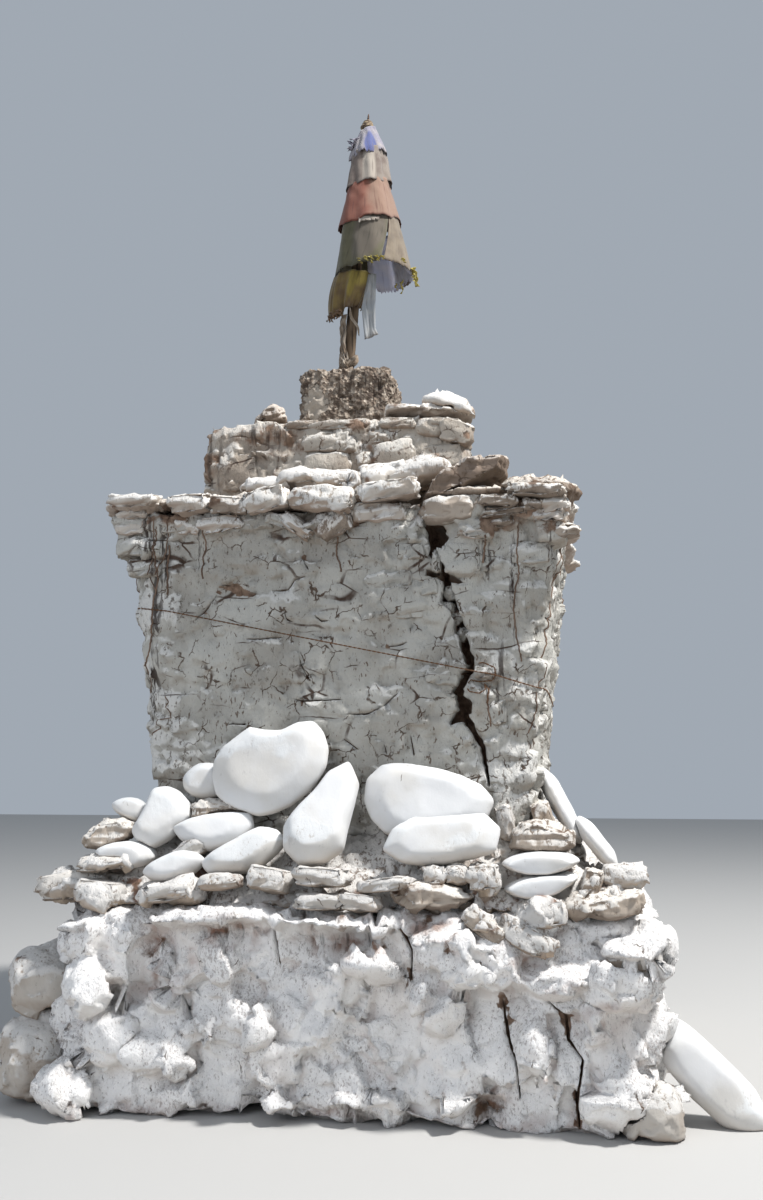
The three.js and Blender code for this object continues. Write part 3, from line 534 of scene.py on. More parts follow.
def move_points(piece: bpy.types.Object, points: np.ndarray) -> None:
    """Writes a piece's points back."""
    piece.data.vertices.foreach_set("co", points.astype(np.float32).ravel())
    piece.data.update()


def paint(piece: bpy.types.Object, name: str, amounts: np.ndarray) -> None:
    """Keeps an amount for each point of a piece.

    Args:
        piece: The piece.
        name: The attribute's name.
        amounts: One number for each point.
    """
    layer = piece.data.attributes.get(name) or piece.data.attributes.new(name, "FLOAT", "POINT")
    layer.data.foreach_set("value", amounts.astype(np.float32))


def soft_spots(points: np.ndarray, spots: Sequence[Stroke], face: Side = Side.FRONT) -> np.ndarray:
    """Sums soft oval spots on one side of the stupa.

    Args:
        points: The points to look at.
        spots: Each spot's middle along the side and up, half width and height, and strength.
        face: The side.

    Returns:
        The amount at each point, at most one.
    """
    along, out = on_side(points, face)
    total = np.zeros(len(points))
    for middle, height, wide, high, strength in spots:
        away = ((along - middle) / wide) ** 2 + ((points[:, 2] - height) / high) ** 2
        total = np.maximum(total, strength * np.exp(-(away**1.5)))
    return np.where(out > FACING, total, 0)


def on_side(points: np.ndarray, face: Side) -> tuple[np.ndarray, np.ndarray]:
    """Looks at points from one side.

    Args:
        points: The points.
        face: The side.

    Returns:
        Each point's place along the side, and how far out towards it the point lies.
    """
    turn = math.radians(face.value)
    along = points[:, 0] * math.cos(turn) + points[:, 1] * math.sin(turn)
    out = points[:, 0] * math.sin(turn) - points[:, 1] * math.cos(turn)
    return along, out


def side_point(face: Side, along: float, out: float, height: float) -> Vector:
    """Gives the point at a place along a side, a distance out from the middle, and a height."""
    return Matrix.Rotation(math.radians(face.value), 4, "Z") @ Vector((along, -out, height))


class StoneShape(Enum):
    """The shapes that the builders' stones come in."""

    BOULDER = "boulder"
    BLOCK = "block"
    SLAB = "slab"


BOULDER, BLOCK, SLAB = StoneShape


@dataclass
class Quarry:
    """Makes a few stones of each shape once, and lays copies of them."""

    variants: int = 3
    faces: int = 1700
    stones: dict[tuple[StoneShape, int], bpy.types.Mesh] = field(default_factory=dict)

    def _start(self, shape: StoneShape) -> bpy.types.Object:
        """Adds the primitive that a stone is cut from.

        Args:
            shape: The stone's shape.

        Returns:
            A closed mesh about one metre across.
        """
        deselect()
        if shape is BOULDER:
            bpy.ops.mesh.primitive_ico_sphere_add(subdivisions=5, radius=0.5)
            finish_with(bpy.context.object, "CAST", factor=0.35, cast_type="CUBOID", size=0.5)
            return bpy.context.object
        bpy.ops.mesh.primitive_cube_add(size=1)
        piece = bpy.context.object
        bpy.ops.object.mode_set(mode="EDIT")
        bpy.ops.mesh.bevel(offset=0.1, segments=3, affect="EDGES", profile=0.6)
        bpy.ops.mesh.subdivide(number_cuts=4)
        bpy.ops.mesh.quads_convert_to_tris()
        bpy.ops.object.mode_set(mode="OBJECT")
        rounding = 0.26 if shape is BLOCK else 0.40
        finish_with(piece, "CAST", factor=rounding, cast_type="SPHERE", size=0.5)
        return piece

    def _cut(self, shape: StoneShape, variant: int) -> bpy.types.Mesh:
        """Cuts one stone to a size of one metre each way.

        Args:
            shape: The stone's shape.
            variant: Which of its variants.

        Returns:
            The stone's mesh.
        """
        piece = self._start(shape)
        seed = 3.7 * variant + len(shape.value)
        reliefs = {
            BOULDER: Relief(swell=(0.5, 0.05), boulders=(0.45, 0.03), seed=seed),
            BLOCK: Relief(swell=(0.5, 0.04), facets=(0.6, 0.06), ragged=0.3, seed=seed),
            SLAB: Relief(swell=(0.5, 0.04), facets=(0.5, 0.05), ragged=0.3, seed=seed),
        }
        raise_relief(piece, reliefs[shape])
        thin_out(piece, self.faces)
        points = points_of(piece)
        low, high = points.min(0), points.max(0)
        move_points(piece, (points - (low + high) / 2) / (high - low))
        mesh = piece.data
        for layer in ("rest", "hollow"):
            mesh.attributes.remove(mesh.attributes[layer])
        bpy.data.objects.remove(piece)
        return mesh

    def lay(
        self,
        shape: StoneShape,
        variant: int,
        size: Sequence[float],
        at: Sequence[float],
        tilt: float = 0,
        lean: float = 0,
        turn: float = 0,
    ) -> bpy.types.Object:
        """Lays a copy of a stone.

        Args:
            shape: The stone's shape.
            variant: Which of its variants.
            size: Its width, depth and height.
            at: Where its middle goes.
            tilt: How far its right end is raised, in degrees.
            lean: How far its top is tipped back from the front, in degrees.
            turn: How far it is turned about the vertical, in degrees.

        Returns:
            The stone, with its place in its mesh.
        """
        key = (shape, variant % self.variants)
        if key not in self.stones:
            self.stones[key] = self._cut(*key)
        mesh = self.stones[key].copy()
        turns = (
            Matrix.Rotation(math.radians(turn), 4, "Z")
            @ Matrix.Rotation(math.radians(-lean), 4, "X")
            @ Matrix.Rotation(math.radians(-tilt), 4, "Y")
        )
        mesh.transform(Matrix.Translation(Vector(at)) @ turns @ Matrix.Diagonal((*size, 1)))
        return new_piece(shape.value, mesh)


QUARRY = Quarry()


@dataclass(frozen=True)
class Crack:
    """An open crack in the front: its middle along and up with its width there, and its depth."""

    path: tuple[Point, ...]
    deep: float
    plane: tuple[float, float]
    ragged: float = 0.3
    step: float = 0.02
    reach: float = 0.15

    def _edges(self) -> list[tuple[float, float]]:
        """Walks down one ragged edge of the crack and back up the other.

        Returns:
            The outline, along and up.
        """
        rng = random.Random(round(1000 * self.path[0][0]) + len(self.path))
        left, right = [], []
        for (x, z, wide), (next_x, next_z, next_wide) in zip(self.path, self.path[1:]):
            run = math.hypot(next_x - x, next_z - z)
            across = ((z - next_z) / run, (next_x - x) / run)
            steps = max(1, round(run / self.step))
            for step in range(steps):
                share = step / steps
                half = (wide + (next_wide - wide) * share) / 2
                here = (x + (next_x - x) * share, z + (next_z - z) * share)
                for side, edge in ((1, left), (-1, right)):
                    away = side * half * (1 + rng.uniform(-self.ragged, self.ragged))
                    edge.append((here[0] + across[0] * away, here[1] + across[1] * away))
        return left + [self.path[-1][:2]] + right[::-1]

    def cutter(self) -> bpy.types.Object:
        """Makes the solid that is cut away.

        Returns:
            A closed mesh that starts in front of the wall.
        """
        outline = self._edges()
        deselect()
        bpy.ops.mesh.primitive_circle_add(vertices=len(outline), radius=1, fill_type="NGON")
        piece = bpy.context.object
        foot, slope = self.plane
        move_points(piece, np.array([(x, foot + slope * z - self.reach, z) for x, z in outline]))
        bpy.ops.object.mode_set(mode="EDIT")
        bpy.ops.mesh.select_all(action="SELECT")
        bpy.ops.mesh.extrude_region_move(
            TRANSFORM_OT_translate={"value": (0, self.reach + self.deep, 0)}
        )
        bpy.ops.mesh.select_all(action="SELECT")
        bpy.ops.mesh.normals_make_consistent(inside=False)
        bpy.ops.object.mode_set(mode="OBJECT")
        return piece

    def inside(self, points: np.ndarray) -> np.ndarray:
        """Says how far each point lies in the crack.

        Args:
            points: The points of the cracked mass.

        Returns:
            One for the points well inside, none for those out on the wall.
        """
        gap = along_path(points, [corner[:2] for corner in self.path], Side.FRONT)
        foot, slope = self.plane
        behind = points[:, 1] - (foot + slope * points[:, 2])
        wide = 0.6 * max(corner[2] for corner in self.path) + 0.012
        return np.clip((behind - 0.2 * self.deep) / (0.5 * self.deep), 0, 1) * (gap < wide)


def cut_open(piece: bpy.types.Object, cracks: Sequence[Crack]) -> None:
    """Cuts cracks into a piece.

    Args:
        piece: The piece, with its relief raised.
        cracks: The cracks.
    """
    if not cracks:
        return
    for crack in cracks:
        cutter = crack.cutter()
        finish_with(piece, "BOOLEAN", operation="DIFFERENCE", object=cutter, solver="MANIFOLD")
        bpy.data.objects.remove(cutter)
    rested = piece.data.attributes["rest"]
    flat = np.empty(len(piece.data.vertices) * 3, np.float32)
    rested.data.foreach_get("vector", flat)
    places, points = flat.reshape(-1, 3), points_of(piece)
    unset = np.abs(places).sum(1) < 1e-6
    places[unset] = points[unset]
    rested.data.foreach_set("vector", places.ravel())


def surface_of(piece: bpy.types.Object) -> BVHTree:
    """Makes a tree of a piece's faces to cast rays at."""
    return BVHTree.FromObject(piece, bpy.context.evaluated_depsgraph_get())


# How many of a pattern's forms go to a metre, worked out from their real size.
DAMP_CLOUDS = 3.0  # Damp dries in clouds about 330 mm across.
NICKS = (75.0, 75.0, 26.0)  # The trowel leaves nicks 13 mm wide and 38 mm high.
NICK_GROUPS = 7.0  # The nicks lie in groups about 140 mm across.
FLAKES = 9.0  # Lime flakes off and cracks in patches of about 110 mm.
MUD_LUMPS = 26.0  # The mud under it shows lumps of about 38 mm.
SOIL_BLOTCHES = 11.0  # Soil settles in blotches of about 90 mm.
RAIN_RUNS = (45.0, 45.0, 3.0)  # Rain leaves runs 22 mm wide and 330 mm long.
HANGING = (1.0, 1.0, 0.55)  # Wet lime hangs, so its grains are almost twice as high as wide.
HAIR_CRACK = 0.0022  # A hair crack of 0.5 mm is drawn 2.2 mm wide, because it wouldn't show.
NICK_SHADE = "6A5D52"
CRACK_SHADE = "54463B"
JOINT_SHADE = "4A3A30"
MUD_SHADE = "5F4A3B"


@dataclass(frozen=True)
class Grime:
    """What weather leaves on a surface, and the painted shade of its undersides, as attributes and
    shares that a material reads.
    """

    drips: str = "2E211A"
    soil: str = "8A6F5A"
    drip_share: float = 1.0
    soil_share: float = 0.5
    underside_shade_share: float = 0.7


@dataclass(frozen=True)
class Limewash:
    """Lime wash brushed on rubble in many coats.

    Thick coats stand up as a chalky white crust, pitted, drawn where a face turns up; in hollows
    and under lips lies a smooth grey plaster. This is a real change of finish that also paints light
    on the tops and shade below. Where the coats flake off the mud shows.
    """

    name: str
    bright: str = "F6F4F0"
    pit_shade: str = "8D857C"
    plaster: str = "CFCCC5"
    damp: str = "B9B5AC"
    under: str = "8C7462"
    underside_shade: str = "B7A48F"
    grime: Grime = Grime()
    crusted: float = 0.5
    patch: float = 0.35
    bare: float = 0.0
    grit: float = 0.024
    grit_height: float = 0.016
    pitted: float = 0.46
    scratches: float = 0.0
    net: float = 0.0
    net_share: float = 0.5
    joint_line: float = 0.0
    plaster_relief: float = 0.4
    stones: tuple[float, float] = (0.0, 0.0)
    seed: float = 0.0
    roughness: float = 0.92

    def _crust(self, graph: Graph, place: Any) -> tuple[bpy.types.Node, bpy.types.Node]:
        """Draws the crust's grains, and says where it covers the plaster.

        Args:
            graph: The material's tree.
            place: Where a point is.

        Returns:
            The height of the crust, and how much of it there is.
        """
        drawn = graph.add("ShaderNodeVectorMath", (place, HANGING), operation="MULTIPLY")
        height = graph.add(
            "ShaderNodeTexNoise",
            {"Vector": drawn, "Scale": 1 / self.grit, "Detail": 4.0, "Roughness": 0.72},
        )
        patches = graph.add(
            "ShaderNodeTexNoise", {"Vector": place, "Scale": 1 / self.patch, "Detail": 6.0}
        )
        normal = graph.add("ShaderNodeNewGeometry")
        parts = graph.add("ShaderNodeSeparateXYZ", (normal.outputs["Normal"],))
        painted = graph.add("ShaderNodeAttribute", attribute_name="crust")
        hollow = graph.add("ShaderNodeAttribute", attribute_name="hollow")
        # The crust is drawn on what faces up and kept out of hollows: a real finish, and also painted
        # light on the tops and painted shade in the hollows.
        lit = graph.add(
            "ShaderNodeMath", (parts.outputs["Z"], 0.4, patches), operation="MULTIPLY_ADD"
        )
        more = graph.add(
            "ShaderNodeMath", (painted.outputs["Fac"], 0.5, lit), operation="MULTIPLY_ADD"
        )
        crust_less_in_shaded_hollows = graph.add(
            "ShaderNodeMath", (hollow.outputs["Fac"], -8.0, more), operation="MULTIPLY_ADD"
        )
        edge = 1 - self.crusted
        share = graph.add("ShaderNodeMapRange", (crust_less_in_shaded_hollows, edge - 0.05, edge + 0.05, 0.0, 1.0), **SOFT)
        return height, share

    def _nicked(self, graph: Graph, place: Any, plaster: Any) -> bpy.types.Node:
        """Draws the small dark nicks that the trowel left in the plaster.

        Args:
            graph: The material's tree.
            place: Where a point is.
            plaster: The plaster's colour.

        Returns:
            The colour.
        """
        upright = graph.add("ShaderNodeVectorMath", (place, NICKS), operation="MULTIPLY")
        nicks = graph.add("ShaderNodeTexNoise", {"Vector": upright, "Scale": 1.0, "Detail": 2.0})
        groups = graph.add(
            "ShaderNodeTexNoise", {"Vector": place, "Scale": NICK_GROUPS, "Detail": 3.0}
        )
        spread = graph.add(
            "ShaderNodeMath", (groups, self.scratches, nicks), operation="MULTIPLY_ADD"
        )
        edge = 0.67 + 0.5 * self.scratches
        nick = graph.add("ShaderNodeMapRange", (spread, edge, edge + 0.08, 0.0, 1.0), **SOFT)
        return graph.add("ShaderNodeMix", (nick, plaster, linear(NICK_SHADE)), **COLOUR)

    def _coat(self, graph: Graph, place: Any, height: Any, share: Any) -> bpy.types.Node:
        """Draws the white crust over the grey plaster.

        Args:
            graph: The material's tree.
            place: Where a point is.
            height: The height of the crust.
            share: How much crust there is.

        Returns:
            The colour.
        """
        clouds = graph.add(
            "ShaderNodeTexNoise", {"Vector": place, "Scale": DAMP_CLOUDS, "Detail": 8.0}
        )
        wet = graph.add("ShaderNodeMapRange", (clouds, 0.38, 0.64, 0.0, 1.0), **SOFT)
        plaster = graph.add(
            "ShaderNodeMix", (wet, linear(self.plaster), linear(self.damp)), **COLOUR
        )
        if self.scratches:
            plaster = self._nicked(graph, place, plaster)
        # Pits are painted darker where the grain sinks lowest: painted shade, on crust and plaster
        # alike.
        sparse = graph.add("ShaderNodeMath", (clouds, -0.35, height), operation="MULTIPLY_ADD")
        rim, floor = self.pitted - 0.17, self.pitted - 0.29
        pit_shade_mask = graph.add("ShaderNodeMapRange", (sparse, rim, floor, 0.0, 1.0), **SOFT)
        crust = graph.add("ShaderNodeMix", (pit_shade_mask, linear(self.bright), linear(self.pit_shade)), **COLOUR)
        rim, floor = self.pitted - 0.20, self.pitted - 0.32
        worn = graph.add("ShaderNodeMapRange", (sparse, rim, floor, 0.0, 1.0), **SOFT)
        dented = graph.add("ShaderNodeMix", (worn, plaster, linear(self.pit_shade)), **COLOUR)
        return graph.add("ShaderNodeMix", (share, dented, crust), **COLOUR)

    def _netted(self, graph: Graph, place: Any, coat: Any) -> bpy.types.Node:
        """Draws the net of hair cracks that runs through dried lime.

        Args:
            graph: The material's tree.
            place: Where a point is.
            coat: The colour so far.

        Returns:
            The colour.
        """
        swung = bent(graph, place, 1 / self.net, 5.0, (self.net,) * 3)
        cells = graph.add(
            "ShaderNodeTexVoronoi",
            {"Vector": swung, "Scale": 1 / self.net},
            feature="DISTANCE_TO_EDGE",
        )
        broken = graph.add("ShaderNodeTexNoise", {"Vector": place, "Scale": FLAKES, "Detail": 4.0})
        gone = 1.0 - self.net_share
        shown = graph.add("ShaderNodeMapRange", (broken, gone, gone + 0.08, 0.0, 1.0), **SOFT)
        wide = HAIR_CRACK / self.net
        line = graph.add("ShaderNodeMapRange", (cells, 1.6 * wide, 0.6 * wide, 0.0, 1.0), **SOFT)
        seen = graph.add("ShaderNodeMath", (line, shown), operation="MULTIPLY")
        return graph.add("ShaderNodeMix", (seen, coat, linear(CRACK_SHADE)), **COLOUR)

    def _bared(self, graph: Graph, place: Any, coat: Any) -> bpy.types.Node:
        """Shows the mud and stone where the wash has flaked off.

        Args:
            graph: The material's tree.
            place: Where a point is.
            coat: The colour so far.

        Returns:
            The colour.
        """
        flakes = graph.add("ShaderNodeTexNoise", {"Vector": place, "Scale": FLAKES, "Detail": 6.0})
        worn = graph.add("ShaderNodeAttribute", attribute_name="bare")
        more = graph.add(
            "ShaderNodeMath", (worn.outputs["Fac"], 0.5, self.bare), operation="MULTIPLY_ADD"
        )
        amount = graph.add("ShaderNodeMath", (flakes, more), operation="ADD")
        lumps = graph.add(
            "ShaderNodeTexNoise", {"Vector": place, "Scale": MUD_LUMPS, "Detail": 4.0}
        )
        shade = graph.add("ShaderNodeMapRange", (lumps, 0.35, 0.7, 0.0, 1.0), **SOFT)
        mud = graph.add("ShaderNodeMix", (shade, linear(self.under), linear(MUD_SHADE)), **COLOUR)
        open_there = graph.add("ShaderNodeMapRange", (amount, 0.64, 0.74, 0.0, 1.0), **SOFT)
        return graph.add("ShaderNodeMix", (open_there, coat, mud), **COLOUR)

    def _joints(self, graph: Graph, place: Any, coat: Any) -> bpy.types.Node:
        """Draws the hair cracks that open along the joints of the stones beneath.

        Args:
            graph: The material's tree.
            place: Where a point is.
            coat: The colour so far.

        Returns:
            The colour.
        """
        edge, _, opened = laid_stones(graph, place, self.stones, self.seed)
        line = graph.add(
            "ShaderNodeMapRange",
            (edge.outputs["Distance"], self.joint_line, 0.3 * self.joint_line, 0.0, 1.0),
            **SOFT,
        )
        seen = graph.add("ShaderNodeMath", (line, opened), operation="MULTIPLY")
        return graph.add("ShaderNodeMix", (seen, coat, linear(JOINT_SHADE)), **COLOUR)

    def _streaked(self, graph: Graph, place: Any, coat: Any) -> bpy.types.Node:
        """Draws the thin dark runs that rain leaves below the mud, where the stain was painted.

        Args:
            graph: The material's tree.
            place: Where a point is.
            coat: The colour so far.

        Returns:
            The colour.
        """
        drawn = graph.add("ShaderNodeVectorMath", (place, RAIN_RUNS), operation="MULTIPLY")
        runs = graph.add(
            "ShaderNodeTexNoise", {"Vector": drawn, "Scale": 1.0, "Detail": 4.0, "Distortion": 0.5}
        )
        stain = graph.add("ShaderNodeAttribute", attribute_name="stain")
        amount = graph.add(
            "ShaderNodeMath", (stain.outputs["Fac"], 0.3, runs), operation="MULTIPLY_ADD"
        )
        dark = graph.add("ShaderNodeMapRange", (amount, 0.70, 0.86, 0.0, 1.0), **SOFT)
        shown = graph.add("ShaderNodeMath", (dark, stain.outputs["Fac"]), operation="MULTIPLY")
        return graph.add("ShaderNodeMix", (shown, coat, linear(self.grime.drips)), **COLOUR)

    def _soiled(self, graph: Graph, place: Any, coat: Any) -> bpy.types.Node:
        """Lays dust in the hollows, and painted shade with a brownish soil tint on the undersides.

        Args:
            graph: The material's tree.
            place: Where a point is.
            coat: The colour so far.

        Returns:
            The colour.
        """
        hollow = graph.add("ShaderNodeAttribute", attribute_name="hollow")
        # A hollow starts to hold dust where it is 4 mm deep, and is full of it at 20 mm.
        deep = graph.add(
            "ShaderNodeMapRange", (hollow.outputs["Fac"], 0.004, 0.020, 0.0, 1.0), **SOFT
        )
        soil = graph.add("ShaderNodeAttribute", attribute_name="soil")
        blotches = graph.add(
            "ShaderNodeTexNoise", {"Vector": place, "Scale": SOIL_BLOTCHES, "Detail": 6.0}
        )
        cloudy = graph.add("ShaderNodeMapRange", (blotches, 0.40, 0.66, 0.0, 1.0), **SOFT)
        both = graph.add(
            "ShaderNodeMath", (deep, self.grime.soil_share, soil.outputs["Fac"]),
            operation="MULTIPLY_ADD",
        )
        amount = graph.add("ShaderNodeMath", (both, cloudy), operation="MULTIPLY", use_clamp=True)
        dusty = graph.add("ShaderNodeMix", (amount, coat, linear(self.grime.soil)), **COLOUR)
        # Faces that turn down take a darker brownish colour: painted shade, tinted like soil splashed
        # under lips.
        normal = graph.add("ShaderNodeNewGeometry")
        parts = graph.add("ShaderNodeSeparateXYZ", (normal.outputs["Normal"],))
        below = graph.add(
            "ShaderNodeMapRange", (parts.outputs["Z"], -0.25, -0.85, 0.0, 1.0), **SOFT
        )
        painted_underside_shade = graph.add("ShaderNodeMath", (below, self.grime.underside_shade_share), operation="MULTIPLY")
        return graph.add("ShaderNodeMix", (painted_underside_shade, dusty, linear(self.underside_shade)), **COLOUR)

    def _raised(self, graph: Graph, height: Any, share: Any) -> bpy.types.Node:
        """Turns the crust's height into bump, faint where only plaster is.

        Args:
            graph: The material's tree.
            height: The height of the crust.
            share: How much crust there is.

        Returns:
            The bump.
        """
        strong = graph.add("ShaderNodeMapRange", (share, 0.0, 1.0, self.plaster_relief, 1.0))
        raised = graph.add("ShaderNodeMath", (height, strong), operation="MULTIPLY")
        stepped = graph.add("ShaderNodeMath", (share, 0.12, raised), operation="MULTIPLY_ADD")
        return graph.add(
            "ShaderNodeBump", {"Strength": 1.0, "Distance": self.grit_height, "Height": stepped}
        )

    def material(self) -> bpy.types.Material:
        """Draws the finish up as a material.

        Returns:
            The material.
        """
        made = empty_material(self.name)
        graph = Graph(made.node_tree)
        place = graph.add("ShaderNodeAttribute", attribute_name="rest").outputs["Vector"]
        height, share = self._crust(graph, place)
        colour = self._coat(graph, place, height, share)
        if self.net:
            colour = self._netted(graph, place, colour)
        if self.joint_line:
            colour = self._joints(graph, place, colour)
        colour = self._bared(graph, place, colour)
        colour = self._soiled(graph, place, colour)
        if self.grime.drip_share:
            colour = self._streaked(graph, place, colour)
        bump = self._raised(graph, height, share)
        surface = graph.add(
            "ShaderNodeBsdfPrincipled",
            {"Base Color": colour, "Roughness": self.roughness, "Normal": bump},
        )
        graph.add("ShaderNodeOutputMaterial", (surface,))
        return made


class Finishes:
    """Every finish on the stupa, made once when it is first asked for."""

    made: dict[str, bpy.types.Material] = {}

    @classmethod
    def of(cls, finish: Any) -> bpy.types.Material:
        """Gives a finish's material.

        Args:
            finish: The finish.

        Returns:
            Its one material.
        """
        if finish.name not in cls.made:
            cls.made[finish.name] = finish.material()
        return cls.made[finish.name]


def dress(
    piece: bpy.types.Object, finish: Any, nodes: Sequence[str] = ()
) -> bpy.types.Object:
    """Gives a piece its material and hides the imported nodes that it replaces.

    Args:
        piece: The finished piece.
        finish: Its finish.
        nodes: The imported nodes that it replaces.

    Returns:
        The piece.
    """
    piece.data.materials.clear()
    piece.data.materials.append(Finishes.of(finish))
    piece.data.polygons.foreach_set("use_smooth", [True] * len(piece.data.polygons))
    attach(piece, "root")
    if nodes:
        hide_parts(*nodes)
    LOG.info("%s: %d triangles", piece.name, triangles_of(piece))
    return piece


# Slaked lime thrown and brushed on boulders year after year. It stands up as a chalky crust, matt
# and bright white, full of small pits that are darkened as painted shade. Pits of 4 to 8 mm are
# drawn 12 mm wide, so that they show.
THICK_CRUST = Limewash(
    "lime_wash_thick_crust",
    bright="FCFAF8",
    pit_shade="C6C0BD",
    plaster="F3F1EE",
    damp="E6E1DD",
    grime=Grime(soil="96705C", soil_share=0.30, underside_shade_share=0.5),
    crusted=0.66,
    bare=-0.03,
    grit=0.012,
    grit_height=0.016,
    pitted=0.47,
    underside_shade="CCC4BC",
    net=0.2,
    net_share=0.40,
)
# Lime and mud plaster spread by hand over courses of rubble. It has weathered to a dull grey, is
# nicked by the trowel and opens in dark hair cracks. Its grit of 5 to 10 mm is drawn 22 mm wide.
GREY_PLASTER = Limewash(
    "lime_plaster_over_rubble",
    bright="D2D0CB",
    pit_shade="746D65",
    plaster="BAB8B1",
    damp="9F9B93",
    underside_shade="93887B",
    grime=Grime(soil="8A7766", soil_share=0.4),
    crusted=0.31,
    plaster_relief=0.9,
    bare=-0.05,
    grit=0.022,
    grit_height=0.018,
    pitted=0.44,
    scratches=0.5,
    net=0.11,
    net_share=0.48,
    joint_line=0.03,
    stones=(0.34, 0.13),
    seed=2.0,
)
# The same plaster, thinner and older, so that the mud behind it gives it a brown tint. Its grit of
# 5 to 10 mm is drawn 24 mm wide.
TIER_PLASTER = Limewash(
    "lime_plaster_over_coarse_rubble",
    bright="CBC6BE",
    pit_shade="776A5E",
    plaster="AEA69B",
    damp="978B7E",
    underside_shade="7F6C5C",
    grime=Grime(soil="7A6250", soil_share=0.7),
    crusted=0.36,
    bare=0.01,
    plaster_relief=0.8,
    scratches=0.4,
    net=0.12,
    net_share=0.46,
    joint_line=0.05,
    stones=(0.24, 0.13),
    seed=3.0,
)
# Lime wash brushed thin on river stones: even, smooth and cool white, with hardly a pit. The soft
# marks of the brush are about 30 mm wide.
SMOOTH_COAT = Limewash(
    "lime_wash_smooth_on_stone",
    bright="D6D7D7",
    pit_shade="BFBCB8",
    plaster="D7D7D7",
    damp="CCC9C4",
    underside_shade="B9ADA0",
    grime=Grime(soil="A3907F", drip_share=0.0, soil_share=0.2, underside_shade_share=0.55),
    crusted=0.3,
    bare=-0.12,
    grit=0.03,
    grit_height=0.003,
    pitted=0.40,
    net=0.3,
    net_share=0.34,
)
# The same wash on rough stones that lie in dust: greyer and warmer, with shallow worn pits. Pits of
# 5 to 10 mm are drawn 22 mm wide.
DUSTY_COAT = Limewash(
    "lime_wash_dusty_on_stone",
    bright="CAC7C3",
    pit_shade="90867C",
    plaster="BAB4AC",
    damp="A5998D",
    under="8D7464",
    underside_shade="93806F",
    grime=Grime(soil="8E735F", drip_share=0.0, soil_share=0.5, underside_shade_share=0.7),
    crusted=0.46,
    bare=-0.02,
    grit=0.022,
    grit_height=0.009,
    pitted=0.45,
    net=0.2,
    net_share=0.42,
)
# Lime wash on split slabs that stand out in the rain: chalky on top, stained brown below. Its pits
# are drawn 24 mm wide, like those of the finishes that follow.
CORNICE_LIME = Limewash(
    "lime_wash_on_split_slabs",
    bright="D3D0CB",
    pit_shade="9C9287",
    plaster="C0B9B0",
    damp="AA9E91",
    under="88705F",
    underside_shade="846C5B",
    grime=Grime(soil="80654F", soil_share=0.7, underside_shade_share=0.6),
    crusted=0.45,
    bare=0.01,
    grit_height=0.009,
    net=0.18,
    net_share=0.38,
)
# Split slate that has lost most of its lime: a dull grey brown, pale on its ridges.
WORN_SLATE = Limewash(
    "split_slate_with_worn_lime",
    bright="D0CBC4",
    pit_shade="796C60",
    plaster="A99D90",
    damp="8E8072",
    under="776557",
    underside_shade="6C5E52",
    grime=Grime(soil="745947", drip_share=0.0, soil_share=0.6),
    crusted=0.42,
    bare=0.04,
    grit_height=0.008,
)
# Red-brown stone with streaks of lime: dark, dull and warm.
BROWN_STONE = Limewash(
    "red_brown_stone_with_lime_streaks",
    bright="BBB1A7",
    pit_shade="635448",
    plaster="88786B",
    damp="736355",
    under="62503F",
    underside_shade="574A3E",
    grime=Grime(soil="6A5040", drip_share=0.0, soil_share=0.6),
    crusted=0.34,
    bare=0.04,
    grit_height=0.009,
    net=0.12,
)
# Mud packed by hand between the slabs: brown and crumbly, with specks of lime.
EAVES_MUD = Limewash(
    "mud_and_crumbs_between_slabs",
    bright="C8C0B6",
    pit_shade="695A4D",
    plaster="9D8F81",
    damp="857566",
    under="6F5B4B",
    underside_shade="5C4B3E",
    grime=Grime(soil="6C5240", soil_share=0.8),
    crusted=0.30,
    bare=0.08,
    plaster_relief=0.9,
)
# Rubble and mud splashed with lime: blotched white over brown, rough and matt.
BANK_DIRT = Limewash(
    "lime_splashed_rubble_and_mud",
    bright="D6D3CF",
    pit_shade="857A71",
    plaster="B9B0A7",
    damp="A09285",
    under="8A6D5E",
    grime=Grime(soil="8A6B5A", soil_share=0.8),
    crusted=0.5,
    bare=0.04,
)


@dataclass
class Masonry:
    """A mass of rubble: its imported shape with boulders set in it, remeshed and given its relief."""

    name: str = "masonry"
    nodes: tuple[str, ...] = ()
    slot: str = "whitewashed_rubble"
    voxel: float = 0.015
    limit: int = 190_000
    soften: int = 2
    relief: Relief = Relief()
    skin: Relief = Relief()
    finish: Limewash = THICK_CRUST
    cracks: tuple[Crack, ...] = ()

    def set_on(self) -> list[bpy.types.Object]:
        """Makes the stones that keep their own edges."""
        return []

    def shape(self, points: np.ndarray) -> np.ndarray:
        """Presses hollows into the mass.

        Args:
            points: The points of the mass.

        Returns:
            The points, moved.
        """
        return points

    def weather(self, points: np.ndarray) -> dict[str, np.ndarray]:
        """Says where rain, soil and wear show.

        Args:
            points: The points of the finished mass.

        Returns:
            The amount at each point, by attribute name.
        """
        return {}

    def build(self) -> bpy.types.Object:
        """Builds the mass and dresses it.

        Returns:
            The piece.
        """
        mass = copy_of(self.name, *self.nodes)
        finish_with(mass, "REMESH", mode="VOXEL", voxel_size=self.voxel)
        if self.soften:
            finish_with(mass, "SMOOTH", factor=0.5, iterations=self.soften)
        raise_relief(mass, self.relief)
        if self.skin != Relief():
            raise_relief(mass, self.skin)
        move_points(mass, self.shape(points_of(mass)))
        cut_open(mass, self.cracks)
        edged = self.set_on()
        if edged:
            for stone in edged:
                raise_relief(stone, Relief(grain=(0.05, 0.0015), seed=self.relief.seed))
            mass = joined(self.name, [mass, *edged])
        thin_out(mass, self.limit)
        points = points_of(mass)
        for attribute, amounts in self.weather(points).items():
            paint(mass, attribute, amounts)
        return dress(mass, self.finish, self.nodes)


